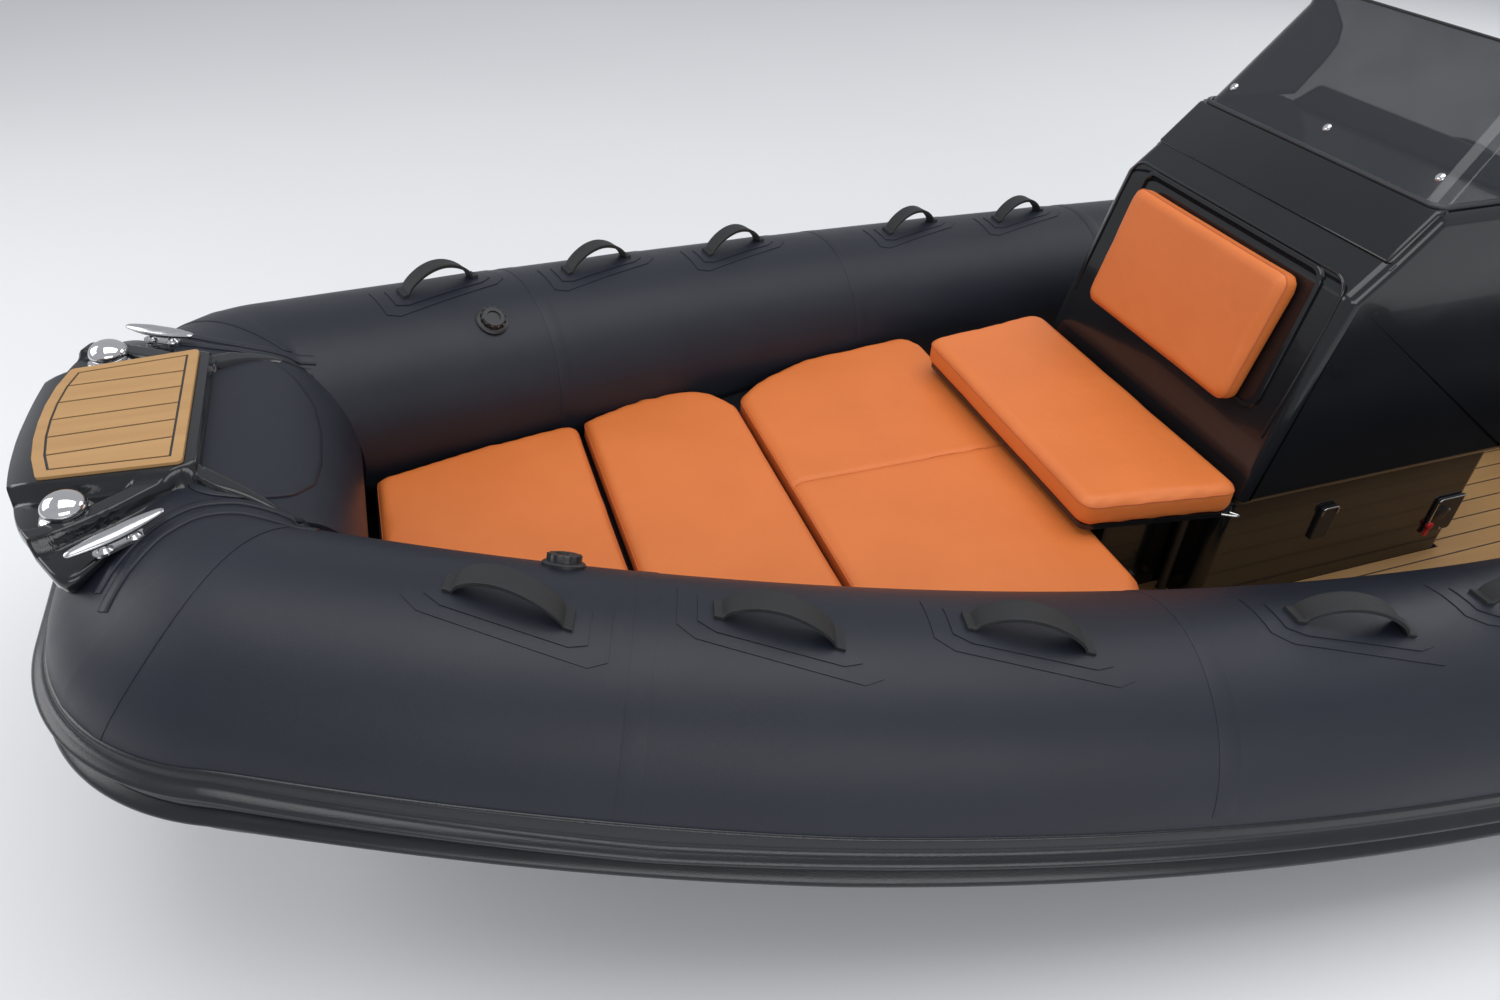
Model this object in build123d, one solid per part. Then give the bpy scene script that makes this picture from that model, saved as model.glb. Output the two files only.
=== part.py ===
"""Inflatable rib boat, millimetres. +X bow, +Y port, +Z up; the origin is amidships on the waterline."""
from build123d import *
import os
from math import asin, atan2, cos, degrees, radians, sin, sqrt

# ---------- air tube ----------
TUBE_R = 273.0                 # air tube radius
TUBE_Y = 1028.0                # tube centreline from the middle of the boat, aft
TUBE_Z = 285.0                 # tube centreline above the water, aft
STERN_X = -2780.0              # aft end of the round tube, where the cones start
CONE_LEN, CONE_TIP_R = 370.0, 95.0
ARC_START_X, ARC_R = -405.0, 7896.0      # where the sides start to close in, and how gently
BOW_X, NOSE_Y = 2655.0, 411.0            # centreline of the tube across the nose, and its corner
SHEER_X, SHEER_K = -983.0, 2.2e-5        # the sheer rises as K * (x - SHEER_X) ** 2
CORNER_CUT = 105.0             # each bow corner is cut back this far, so its mitres do not cross
PANEL_JOINTS_X = (-60.0, 410.0, 957.0, 1507.0, 1948.0, 2400.0)   # seams round each side's arc
MITRE_SPARE = 220.0            # length past a joint, before it is cut on the mitre
STRAKE_BASE_T, STRAKE_RIB_T = 8.0, 27.0  # how far the strake's base strip and its ribs stand out
STRAKE_BASE = (-22.0, 11.0)              # the base strip, in degrees up from outboard
STRAKE_RIBS = ((-1.0, 5.0), (-16.0, -10.0))
STRAKE_GAP = 4.0               # between the nose length of the strake and each side's
HANDLES_X = (2168.0, 1728.0, 1285.0, 629.0, 190.0, -560.0, -1250.0, -1900.0)
HANDLE_REACH, HANDLE_RISE, HANDLE_STRAP_T, HANDLE_HALF_W = 98.0, 52.0, 10.0, 19.0
PATCH_REACH, PATCH_HALF_W, PATCH_T = 140.0, 50.0, 4.0
VALVES_X = (2100.0, -300.0, -2200.0)
VALVE_LEAN, VALVE_R, VALVE_H = 33.0, 38.0, 22.0      # degrees inboard of the tube's top
SKIN_GAP = 0.3                 # between pieces that lie on curved faces

# ---------- hull, decks and bow ----------
DECK_Z = 80.0                  # cockpit sole
CLEAR = 12.0                   # soft pieces and mouldings from the tubes, whose panels are straight
# x, keel z, chine y, chine z, top edge y, top z
HULL_SECTIONS = (
    (-2750, -380, 790, -25, 863, 80), (-1500, -380, 795, -20, 863, 80), (0, -375, 780, 0, 850, 80),
    (740, -350, 720, 40, 790, 80), (1700, -200, 520, 150, 575, 230), (2200, 20, 330, 240, 400, 300),
    (2560, 270, 120, 315, 170, 335))
TRANSOM_X, TRANSOM_T, TRANSOM_HALF, TRANSOM_TOP_Z = -2750.0, 60.0, 800.0, 330.0
NOTCH_HALF, NOTCH_Z = 330.0, 255.0       # cut-out that the outboard clamps in
STERN_DECK_X, STERN_DECK_IN, STERN_DECK_Z = -2180.0, 360.0, 300.0
PLATFORM_OUT, PLATFORM_IN, PLATFORM_Z, PLATFORM_T = 700.0, 380.0, 100.0, 40.0
EYE_BORE_R, EYE_T = 12.0, 12.0
BOW_EYE = (2420.0, 100.0)                # bore centre, x and z
STERN_EYE = (-2834.0, 400.0, 180.0)      # bore centre; this eye lies flat, inboard of the ladder's swing
SOLE_T, SOLE_HALF, SOLE_X0, SOLE_X1 = 6.0, 760.0, -1620.0, 715.0
CUSHION_T, CUSHION_CORNER_R = 70.0, 28.0
# each bow cushion's back and front edge with the height of its top there, then its port outline from the back
BOW_CUSHIONS = (
    ((1844, 444), (2378, 498), ((1844, 412), (2130, 330), (2378, 220))),
    ((1391, 420), (1840, 442), ((1391, 402), (1440, 493), (1500, 523), (1650, 500), (1840, 420))),
    ((735, 420), (1387, 420), ((735, 560), (765, 637), (1134, 589), (1290, 515), (1387, 439))))
BOW_LOCKER_X = (760.0, 1200.0, 1640.0, 2080.0, 2376.0)
STEP_TOP_Z, STEP_SHELF_Z, STEP_FOOT_Z = 885.0, 853.0, 760.0
STEP_MIDDLE = ((2625, 214), (2870, 214), (2925, 150), (2945, 60))          # port half of its raised middle
STEP_SHELF = ((2500, 245), (2600, 330), (2700, 400), (2790, 470), (2880, 430), (2915, 280), (2915, 120),
              (2640, 120), (2640, 225))
STEP_PAD = ((2640, 210), (2876, 191), (2925, 110))
PAD_T = 8.0

# ---------- console and seats ----------
SEAT_TOP_Z, SEAT_CUSHION_T, LID_T = 530.0, 75.0, 14.0     # seat in front of the console
SEAT_FRONT_X, SEAT_FRONT_HALF, SEAT_BACK_X, SEAT_BACK_HALF = 813.0, 418.0, 402.0, 478.0
SEAT_BOX_X, SEAT_BOX_HALF, WALL = (398.0, 640.0), 300.0, 26.0
STRUT_X, STRUT_Y, STRUT_R = 430.0, 350.0, 14.0
CONSOLE_FRONT_X, CONSOLE_BACK_X = 387.0, -480.0
CONSOLE_HALF, CONSOLE_FOOT_HALF, CONSOLE_STEP_Z = 450.0, 420.0, 440.0   # it steps in below this height
CONSOLE_SIDE = (
    (CONSOLE_FRONT_X, CONSOLE_STEP_Z), (340, 640), (256, 975), (175, 1050), (78, 1150), (-180, 1150),
    (-400, 1030), (CONSOLE_BACK_X, 880), (CONSOLE_BACK_X, CONSOLE_STEP_Z))
SIDE_LEAN, LEAN_FROM_Z = 3.5, 560.0      # degrees that the console's sides lean in, and from which height
REST_FOOT, REST_LEAN = (341.0, 642.0), (-84.0, 336.0)     # console backrest: foot and the way it leans
REST_T, REST_TALL, REST_HALF = 60.0, 338.0, 300.0
DASH_SIDE = ((-150, 1151), (-240, 1195), (-395, 1085), (-385, 1045))
DASH_HALF = 330.0
GAUGE_PLACE, GAUGE_LEAN, GAUGES_Y, GAUGE_R = (-318.0, 1142.0), -35.4, (-170.0, -60.0), 46.0
SCREEN_FOOT = (78.0, 392.0, 1156.0)      # front corner of the windscreen at the console
SCREEN_TOP = (-150.0, 355.0, 1435.0)
SCREEN_AFT = (-230.0, 392.0, 1156.0)
SCREEN_T = 5.0
WHEEL_X, WHEEL_Z, WHEEL_RAKE, WHEEL_R, WHEEL_RIM_R = -545.0, 965.0, -62.0, 165.0, 14.0
HELM_SEAT_X, HELM_SEAT_DEPTH, HELM_SEAT_HALF, HELM_SEAT_Z = -1100.0, 360.0, 360.0, 740.0
HELM_CUSHION_T, HELM_REST_Z = 90.0, 1180.0
BENCH_X, BENCH_DEPTH, BENCH_HALF, BENCH_TOP_Z = -1640.0, 430.0, 560.0, 500.0
BENCH_REST_Z, BULKHEAD_Z = 800.0, 515.0
ARCH_X, ARCH_Y, ARCH_Z, ARCH_R = -2300.0, 700.0, 1500.0, 22.0
SWITCH_X, SWITCH_Z, SWITCH_T = (-440.0, -370.0), (165.0, 290.0), 12.0
BOW_CLEAT, STERN_CLEAT, CLEAT_LEN, CLEAT_H = (2738.0, 355.0), (-2500.0, 600.0), 158.0, 34.0
LIGHT_PLACE, LIGHT_R, LIGHT_H = (2824.0, 271.0), 30.0, 45.0

# ---------- outboard and ladder ----------
STEER_X, STEER_Z, STEER_LEN = -2960.0, 170.0, 300.0       # outboard's steering axis and its tube
TILT_X, TILT_Z = -2880.0, 230.0          # axis the outboard tilts about
CLAMP_X, CLAMP_Z, CLAMP_PLATE_Z = -2811.0, (40.0, 300.0), 265.0
COWL_Z, COWL_HALF = (430.0, 930.0), 195.0
COWL_PLAN = ((-3420, 160), (-3300, COWL_HALF), (-2990, COWL_HALF), (-2830, 120))
PROP_X, PROP_Z, PROP_R, HUB_R = -3270.0, -580.0, 165.0, 48.0
LADDER_X, LADDER_Z, LADDER_Y = -3072.0, 111.0, (-640.0, -460.0)      # boarding ladder's hinge and its rails

NODES = {}


# ---------- helpers ----------
def block(x0, x1, y0, y1, z0, z1):
    """An upright box between two corners."""
    return Pos((x0 + x1) / 2, (y0 + y1) / 2, (z0 + z1) / 2) * Box(x1 - x0, y1 - y0, z1 - z0)


def face(points):
    """A flat face through 3-D points."""
    return Face(Wire.make_polygon([Vector(*p) for p in points], close=True))


def up(outline, z0, z1, r=0.0):
    """A prism on a plan outline of (x, y), with its corners rounded."""
    sk = make_face(Polyline(*[(x, y, z0) for x, y in outline], close=True))
    if r:
        sk = fillet(sk.vertices(), r)
    return extrude(sk, z1 - z0, dir=(0, 0, 1))


def across(outline, y0, y1, r=0.0):
    """A prism on a side outline of (x, z), from y0 to y1, with its corners rounded."""
    sk = make_face(Polyline(*[(x, y0, z) for x, z in outline], close=True))
    if r:
        sk = fillet(sk.vertices(), r)
    return extrude(sk, y1 - y0, dir=(0, 1, 0))


def both(*solids):
    """The solids and their mirror images across the middle of the boat."""
    return [t for s in solids for t in (s, s.mirror(Plane.XZ))]


def soften(solid, r, axis=Axis.Z):
    """The solid with the edges of its top face rounded."""
    return fillet(solid.faces().sort_by(axis)[-1].edges(), r)


def fused(solids):
    """One solid from pieces that meet."""
    out = solids[0]
    for s in solids[1:]:
        out = out + s
    return out


def save(node, solids):
    """Keep a node as the list of its solids."""
    flat = []
    for s in solids if isinstance(solids, list) else [solids]:
        flat += list(s.solids())
    NODES[node] = flat


def mirror_plan(half):
    """A whole outline from the port half of one, listed from back to front."""
    return list(half) + [(x, -y) for x, y in reversed(half)]


def sheer(x):
    """Height of the tube's centreline at x."""
    return TUBE_Z + (SHEER_K * (x - SHEER_X) ** 2 if x > SHEER_X else 0.0)


def tube_y(x):
    """Centreline of the tube from the middle of the boat at x."""
    return TUBE_Y if x < ARC_START_X else TUBE_Y - ARC_R + sqrt(ARC_R ** 2 - (x - ARC_START_X) ** 2)


def inner_y(x, z, clear=CLEAR):
    """How wide a piece may be at x and z, inside the tubes."""
    dz = min(abs(z - sheer(x)), TUBE_R)
    slope = cos(asin(min(1.0, max(0.0, x - ARC_START_X) / ARC_R)))
    return tube_y(x) - sqrt(TUBE_R ** 2 - dz ** 2) / slope - clear


# ---------- tubes and strake ----------
def tube_path():
    """Port centreline from the stern to the middle of the nose."""
    turn = asin((BOW_X - ARC_START_X) / ARC_R)
    pts = [(x, tube_y(x)) for x in (STERN_X, SHEER_X, ARC_START_X, *PANEL_JOINTS_X)]
    pts.append((BOW_X - CORNER_CUT * cos(turn), NOSE_Y + CORNER_CUT * sin(turn)))
    pts.append((BOW_X, NOSE_Y - CORNER_CUT))
    pts.append((BOW_X, 0.0))
    return [Vector(x, y, sheer(x)) for x, y in pts]


def panel_frame(x):
    """The frame on the port tube's centreline at x: +X along its panel, +Z up out of it."""
    path = tube_path()
    a, b = next((a, b) for a, b in zip(path, path[1:]) if a.X <= x <= b.X)
    d = (b - a).normalized()
    return Plane(a + (b - a) * ((x - a.X) / (b.X - a.X)), x_dir=d,
                 z_dir=d.cross(Vector(-d.Y, d.X, 0).normalized())).location


def run(path, section):
    """Straight lengths of one section along a path, each cut on its mitres."""
    dirs = [(b - a).normalized() for a, b in zip(path, path[1:])]
    out = []
    for i, d in enumerate(dirs):
        a, b = path[i], path[i + 1]
        left = Vector(-d.Y, d.X, 0).normalized()
        reach = (b - a).length + 2 * MITRE_SPARE
        s = extrude(Plane(a - d * MITRE_SPARE, x_dir=left, z_dir=d) * section, reach)
        n0 = d + dirs[i - 1] if i else d
        n1 = d + dirs[i + 1] if i + 1 < len(dirs) else Vector(0, -1, 0)
        s = split(s, bisect_by=Plane(a, z_dir=n0), keep=Keep.TOP)
        out.append(split(s, bisect_by=Plane(b, z_dir=n1), keep=Keep.BOTTOM))
    return out


def sector(r0, r1, a0, a1):
    """A flat piece of a ring between two radii and two angles, in degrees up from outboard."""
    p = lambda r, a: (r * cos(radians(a)), r * sin(radians(a)))
    mid = (a0 + a1) / 2
    return make_face([ThreePointArc(p(r0, a0), p(r0, mid), p(r0, a1)), Line(p(r0, a1), p(r1, a1)),
                      ThreePointArc(p(r1, a1), p(r1, mid), p(r1, a0)), Line(p(r1, a0), p(r0, a0))])


def tubes():
    """The air tube in three pieces: two sides with their cones, and the nose."""
    path = tube_path()
    panels = run(path, Circle(TUBE_R))
    cone = Pos(STERN_X - CONE_LEN / 2, TUBE_Y, TUBE_Z) * Rot(0, -90, 0) * Cone(TUBE_R, CONE_TIP_R, CONE_LEN)
    half_bow = fused(panels[-2:])
    bow = half_bow + half_bow.mirror(Plane.XZ)
    side = fused([cone] + panels[:-2])
    save("tube_port", side)
    save("tube_starboard", side.mirror(Plane.XZ))
    save("tube_bow", bow)
    return [side, side.mirror(Plane.XZ), bow]


def strake():
    """A base strip with two ribs, round the widest line of the tubes."""
    section = sector(TUBE_R, TUBE_R + STRAKE_BASE_T, *STRAKE_BASE)
    for rib in STRAKE_RIBS:
        section += sector(TUBE_R + STRAKE_BASE_T - 1, TUBE_R + STRAKE_RIB_T, *rib)
    path = tube_path()
    lengths = run(path, section)
    joint, ahead = path[-3], (path[-2] - path[-4]).normalized()
    end = Plane(joint - ahead * STRAKE_GAP, z_dir=ahead)
    side = split(fused(lengths[:-2]), bisect_by=end, keep=Keep.BOTTOM)
    nose = fused(lengths[-2:])
    save("rub_strake", both(side) + [nose + nose.mirror(Plane.XZ)])


# ---------- hull and decks ----------
def hull(tube_solids):
    """The rigid hull, cut to the tubes."""
    faces = [face([(x, 0, kz), (x, cy, cz), (x, ty, tz), (x, -ty, tz), (x, -cy, cz)])
             for x, kz, cy, cz, ty, tz in HULL_SECTIONS]
    body = loft(faces, ruled=True)
    for t in tube_solids:
        body -= t
    save("hull", body)
    return body


def clipped(solid, tube_solids, hull_body=None):
    """The solid without what the tubes and the hull take up."""
    for t in tube_solids:
        solid = solid - t
    return solid - hull_body if hull_body is not None else solid


def stern(t):
    """Transom, stern decks, motor well, swim platforms and towing eyes."""
    low_y, low_z = HULL_SECTIONS[0][2], HULL_SECTIONS[0][3]
    back = TRANSOM_X - TRANSOM_T
    transom = block(back, TRANSOM_X, -TRANSOM_HALF, TRANSOM_HALF, low_z, TRANSOM_TOP_Z)
    transom += extrude(face([(TRANSOM_X, 0, HULL_SECTIONS[0][1]), (TRANSOM_X, low_y, low_z),
                             (TRANSOM_X, -low_y, low_z)]), TRANSOM_T, dir=(-1, 0, 0))
    transom -= block(back - 1, TRANSOM_X + 1, -NOTCH_HALF, NOTCH_HALF, NOTCH_Z, TRANSOM_TOP_Z + 1)
    save("transom", clipped(transom, t))
    ex, ey, ez = STERN_EYE
    lug = block(ex - 24, back - 1, ey - 22, ey + 22, ez - EYE_T / 2, ez + EYE_T / 2)
    save("stern_eyes", both(lug - Pos(ex, ey, ez) * Cylinder(EYE_BORE_R, 3 * EYE_T)))
    deck = block(TRANSOM_X, STERN_DECK_X, STERN_DECK_IN, 860, DECK_Z, STERN_DECK_Z)
    save("stern_decks", [clipped(s, t) for s in both(deck)])
    well_half = STERN_DECK_IN - 2
    save("motor_well", block(TRANSOM_X, STERN_DECK_X, -well_half, well_half, DECK_Z, DECK_Z + 60))
    plan = [(LADDER_X + 12, PLATFORM_IN), (back - 1, PLATFORM_IN), (back - 1, PLATFORM_OUT),
            (LADDER_X + 12, PLATFORM_OUT - 40)]
    save("swim_platforms", both(up(plan, PLATFORM_Z - PLATFORM_T, PLATFORM_Z, 20)))


def locker_top(x):
    """Height of the bow locker's lid at x, just under the cushions."""
    line = [(xb, zb) for (xb, zb), _, _ in reversed(BOW_CUSHIONS)] + [BOW_CUSHIONS[0][1]]
    for (xa, za), (xb, zb) in zip(line, line[1:]):
        if x <= xb:
            return za + (zb - za) * (x - xa) / (xb - xa) - CUSHION_T - 2
    return line[-1][1] - CUSHION_T - 2


def bow(t, h):
    """Bow locker, bow step with its pad, towing eye and the three bow cushions."""
    plan = mirror_plan([(x, inner_y(x, locker_top(x), 2)) for x in BOW_LOCKER_X])
    lid_line = [(x, locker_top(x)) for x in (740, 1391, 1844, 2376, 2450)]
    deck_line = [(x, tz) for x, kz, cy, cz, ty, tz in HULL_SECTIONS if x >= 740]
    profile = across(deck_line + lid_line[::-1], -TRANSOM_HALF, TRANSOM_HALF)
    save("bow_locker", clipped(up(plan, DECK_Z, BOW_CUSHIONS[0][1][1]) & profile, t, h))

    middle = up(mirror_plan(STEP_MIDDLE), STEP_FOOT_Z, STEP_TOP_Z, 12)
    shelves = both(up(STEP_SHELF, STEP_FOOT_Z, STEP_SHELF_Z, 6))
    save("bow_step", clipped(soften(middle, 6) + shelves[0] + shelves[1], t))
    save("bow_step_pad", up(mirror_plan(STEP_PAD), STEP_TOP_Z, STEP_TOP_Z + PAD_T, 15))
    ex, ez = BOW_EYE
    lug = block(ex - 30, ex + 30, -EYE_T / 2, EYE_T / 2, ez - 30, ez + 100)
    save("bow_eye", clipped(lug - Pos(ex, 0, ez) * Rot(90, 0, 0) * Cylinder(EYE_BORE_R, 3 * EYE_T), t, h))

    for i, ((xb, zb), (xf, zf), outline) in enumerate(BOW_CUSHIONS):
        lean = degrees(atan2(zf - zb, xf - xb))
        half = []
        for x, y in outline:
            z = zb + (zf - zb) * (x - xb) / (xf - xb)
            half.append((x - xb, min(y, inner_y(x, z), inner_y(x, z - CUSHION_T))))
        s = soften(up(mirror_plan(half), -CUSHION_T, 0, CUSHION_CORNER_R), 15)
        save(f"bow_cushion_{i + 1}", s.moved(Location((xb, 0, zb), (0, -lean, 0))))


def sole():
    """The teak sole, cut round what stands on it."""
    sheet = block(SOLE_X0, SOLE_X1, -SOLE_HALF, SOLE_HALF, DECK_Z, DECK_Z + SOLE_T)
    helm_back = HELM_SEAT_X - HELM_SEAT_DEPTH
    stands = ((CONSOLE_BACK_X, CONSOLE_FRONT_X, CONSOLE_FOOT_HALF), (*SEAT_BOX_X, SEAT_BOX_HALF),
              (helm_back, HELM_SEAT_X, HELM_SEAT_HALF))
    for x0, x1, half in stands:
        sheet -= block(x0 - 1, x1 + 1, -half - 1, half + 1, DECK_Z - 1, DECK_Z + SOLE_T + 1)
    for y in (STRUT_Y, -STRUT_Y):
        sheet -= Pos(STRUT_X, y, DECK_Z) * Cylinder(STRUT_R + 1, 3 * SOLE_T)
    save("teak_sole", sheet)


def wheel_frame():
    """The steering wheel's centre, +Z out of its hub towards the person steering."""
    return Pos(WHEEL_X, 0, WHEEL_Z) * Rot(0, WHEEL_RAKE, 0)


def console():
    """Console, its seat with locker and backrest, the windscreen and the dash."""
    body = across(CONSOLE_SIDE, -CONSOLE_HALF, CONSOLE_HALF, 14)
    lean = block(-800, 800, 0, 400, -900, 900).moved(
        Location((0, CONSOLE_HALF, LEAN_FROM_Z), (-SIDE_LEAN, 0, 0)))
    half = CONSOLE_FOOT_HALF
    foot = block(CONSOLE_BACK_X, CONSOLE_FRONT_X, -half, half, DECK_Z, CONSOLE_STEP_Z + 20)
    column = wheel_frame() * Pos(0, 0, -60) * Cylinder(22, 84)
    body = body - lean - lean.mirror(Plane.XZ) + foot + column
    save("console", body)

    z = SEAT_TOP_Z - SEAT_CUSHION_T
    x0, x1 = SEAT_BOX_X
    box_plan = mirror_plan([(x0, SEAT_BOX_HALF), (x1, SEAT_BOX_HALF)])
    room = mirror_plan([(x0 + WALL, SEAT_BOX_HALF - WALL), (x1 - WALL, SEAT_BOX_HALF - WALL)])
    save("console_seat_base", up(box_plan, DECK_Z, z - LID_T - 1, 25) - up(room, DECK_Z + 30, SEAT_TOP_Z, 15))
    strut = Pos(STRUT_X, STRUT_Y, (DECK_Z + z - LID_T - 1) / 2) * Cylinder(STRUT_R, z - LID_T - 1 - DECK_Z)
    save("console_seat_struts", both(strut))
    lid_plan = mirror_plan([(x0, SEAT_BACK_HALF - 13), (SEAT_FRONT_X - 15, SEAT_FRONT_HALF - 14)])
    save("console_seat_lid", up(lid_plan, z - LID_T, z, 25))
    plan = mirror_plan([(SEAT_BACK_X, SEAT_BACK_HALF), (SEAT_FRONT_X, SEAT_FRONT_HALF)])
    save("console_seat_cushion", soften(up(plan, z + 0.5, SEAT_TOP_Z, 40), 20))

    along = Vector(REST_LEAN[0], 0, REST_LEAN[1]).normalized()
    out = Vector(along.Z, 0, -along.X)
    foot_point = Vector(REST_FOOT[0], 0, REST_FOOT[1])
    corners = [foot_point + out, foot_point + out * REST_T, foot_point + out * REST_T + along * REST_TALL,
               foot_point + out + along * REST_TALL]
    save("console_backrest", across([(p.X, p.Z) for p in corners], -REST_HALF, REST_HALF, 18))

    a, b, c = Vector(*SCREEN_FOOT), Vector(*SCREEN_AFT), Vector(*SCREEN_TOP)
    d = a + (b - a) * 0.92 + (c - a) * 0.45
    mirrored = [Vector(p.X, -p.Y, p.Z) for p in (c, a)]
    front = extrude(face([a, c] + mirrored), SCREEN_T)
    wings = both(extrude(face([a, b, d, c]), SCREEN_T) - front)
    save("windscreen", [front] + wings)
    dash = across(DASH_SIDE, -DASH_HALF, DASH_HALF) - NODES["console"][0]
    save("dash", dash)
    gx, gz = GAUGE_PLACE
    save("gauges", [Pos(gx, y, gz) * Rot(0, GAUGE_LEAN, 0) * Cylinder(GAUGE_R, 14) - dash for y in GAUGES_Y])


def seats():
    """Helm seat, stern bench with its locker, their backrests and the bulkhead behind the bench."""
    x1 = HELM_SEAT_X
    x0 = x1 - HELM_SEAT_DEPTH
    z = HELM_SEAT_Z
    plan = mirror_plan([(x0, HELM_SEAT_HALF), (x1, HELM_SEAT_HALF)])
    save("helm_seat_base", up(plan, DECK_Z, z, 40))
    plan = mirror_plan([(x0, HELM_SEAT_HALF + 20), (x1 + 20, HELM_SEAT_HALF + 20)])
    save("helm_seat_cushion", soften(up(plan, z + 1, z + 1 + HELM_CUSHION_T, 45), 25))
    rest = [(x0 - 2, z + 5), (x0 - 82, z + 5), (x0 - 150, HELM_REST_Z), (x0 - 85, HELM_REST_Z)]
    save("helm_backrest", across(rest, -HELM_SEAT_HALF - 10, HELM_SEAT_HALF + 10, 20))

    b1, b0 = BENCH_X, BENCH_X - BENCH_DEPTH
    z = BENCH_TOP_Z - SEAT_CUSHION_T
    plan = mirror_plan([(b0, BENCH_HALF), (b1, BENCH_HALF)])
    room = block(b0 + 30, b1 - 30, 30 - BENCH_HALF, BENCH_HALF - 30, DECK_Z + 30, BENCH_TOP_Z)
    save("stern_bench_base", up(plan, DECK_Z, z - LID_T - 1, 25) - room)
    save("stern_bench_lid", up(plan, z - LID_T, z, 25))
    save("stern_bench_cushion", soften(up(plan, z + 0.5, BENCH_TOP_Z, 40), 20))
    z = BULKHEAD_Z + 5
    rest = [(b0 - 14, z), (b0 - 74, z), (b0 - 100, BENCH_REST_Z), (b0 - 50, BENCH_REST_Z)]
    save("stern_backrest", across(rest, 20 - BENCH_HALF, BENCH_HALF - 20, 15))
    save("stern_bulkhead", block(b0 - 95, b0 - 20, -BENCH_HALF, BENCH_HALF, DECK_Z, BULKHEAD_Z))


def outboard():
    """Clamp and swivel brackets, cowl round a plain engine block, leg and propeller."""
    z0, z1 = CLAMP_Z
    cheeks = both(block(-2985, CLAMP_X, 95, 120, z0, z1))
    save("clamp_bracket", fused(cheeks + [block(CLAMP_X - 24, CLAMP_X, -120, 120, z0, CLAMP_PLATE_Z)]))
    at = Pos(STEER_X, 0, STEER_Z)
    pin = Pos(TILT_X, 0, TILT_Z) * Rot(90, 0, 0) * Cylinder(20, 180)
    arms = block(-2925, TILT_X, -80, 80, TILT_Z - 30, TILT_Z + 30) - at * Cylinder(27, STEER_LEN)
    save("swivel_bracket", fused([arms, pin]) + at * (Cylinder(45, STEER_LEN) - Cylinder(27, STEER_LEN + 20)))

    z0, z1 = COWL_Z
    cowl = up(mirror_plan(COWL_PLAN), z0, z1, 50)
    save("cowl", soften(cowl, 60) - block(-3330, -2900, -150, 150, z0 + 10, z1 - 80))
    save("engine_block", block(-3290, -2940, -140, 140, z0 + 15, z1 - 110))
    shaft = at * Cylinder(26.9, 520)
    leg = up(mirror_plan([(-3160, 50), (-3080, 68), (-3025, 40)]), -390, z0 - 1, 12)
    plate = up(mirror_plan([(-3400, 110), (-3010, 80)]), -390, -376, 20)
    lower = up(mirror_plan([(-3150, 26), (-3030, 26)]), PROP_Z, -389, 12)
    gear = Pos(-3070, 0, PROP_Z) * Rot(0, 90, 0) * Cylinder(50, 340)
    skeg = across([(-3140, PROP_Z - 20), (-2990, PROP_Z - 20), (-3060, -790), (-3130, -790)], -8, 8)
    bridge = block(-3030, STEER_X, -40, 40, 335, z0 - 1)
    foot = block(-3030, STEER_X, -40, 40, -70, 5)
    save("outboard_leg", fused([leg, plate, lower, gear, skeg, bridge, foot, shaft]))

    prop_at = Pos(PROP_X, 0, PROP_Z)
    blade = Pos(0, 0, PROP_R / 2 + 10) * Rot(0, 0, 28) * Box(8, 90, PROP_R - 20)
    blades = [prop_at * Rot(120 * k, 0, 0) * blade for k in range(3)]
    save("propeller", fused([prop_at * Rot(0, 90, 0) * Cylinder(HUB_R, 50)] + blades))


def controls():
    """Steering wheel, throttle and battery switch."""
    at = wheel_frame()
    spokes = [at * Rot(0, 0, 120 * k) * Pos(90, 0, 0) * Box(150, 22, 10) for k in range(3)]
    save("steering_wheel", fused([at * Torus(WHEEL_R, WHEEL_RIM_R), at * Cylinder(30, 26)] + spokes))
    x = CONSOLE_BACK_X
    box = block(x - 20, x - 1, -300, -220, 780, 860)
    lever = block(x - 42, x - 21, -270, -250, 800, 960)
    save("throttle", [box, lever])
    y = CONSOLE_FOOT_HALF + SKIN_GAP
    save("battery_switch", block(*SWITCH_X, y, y + SWITCH_T, *SWITCH_Z))


def tube_fittings():
    """Grab handles with their patches, and the filling valves."""
    patches, straps, valves = [], [], []
    reach, rise, thick, side = HANDLE_REACH, HANDLE_RISE, HANDLE_STRAP_T, HANDLE_HALF_W
    knee = reach - 38
    inside = [(reach - thick - 2, 0), (knee - 6, rise - thick + 2)]
    inside += [(-u, h) for u, h in reversed(inside)]
    arch = across([(-reach, 0), (-knee, rise), (knee, rise), (reach, 0)] + inside, -side, side)
    half = [(-PATCH_REACH, 15), (-60, PATCH_HALF_W), (60, PATCH_HALF_W), (PATCH_REACH, 15)]
    lozenge = up(mirror_plan(half), TUBE_R / 2, TUBE_R + 50, 8)
    skin = Rot(0, 90, 0) * (Cylinder(TUBE_R + PATCH_T, 300) - Cylinder(TUBE_R + 0.2, 301))
    for x in HANDLES_X:
        frame = panel_frame(x)
        patches += both((frame * skin) & (frame * lozenge))
        straps += both(frame * Pos(0, 0, TUBE_R + PATCH_T + 0.2) * arch)
    for x in VALVES_X:
        cap = Pos(0, 0, TUBE_R + SKIN_GAP + VALVE_H / 2) * Cylinder(VALVE_R, VALVE_H)
        valves += both(panel_frame(x) * Rot(VALVE_LEAN, 0, 0) * cap)
    save("handle_patches", patches)
    save("grab_handles", straps)
    save("tube_valves", valves)


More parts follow.
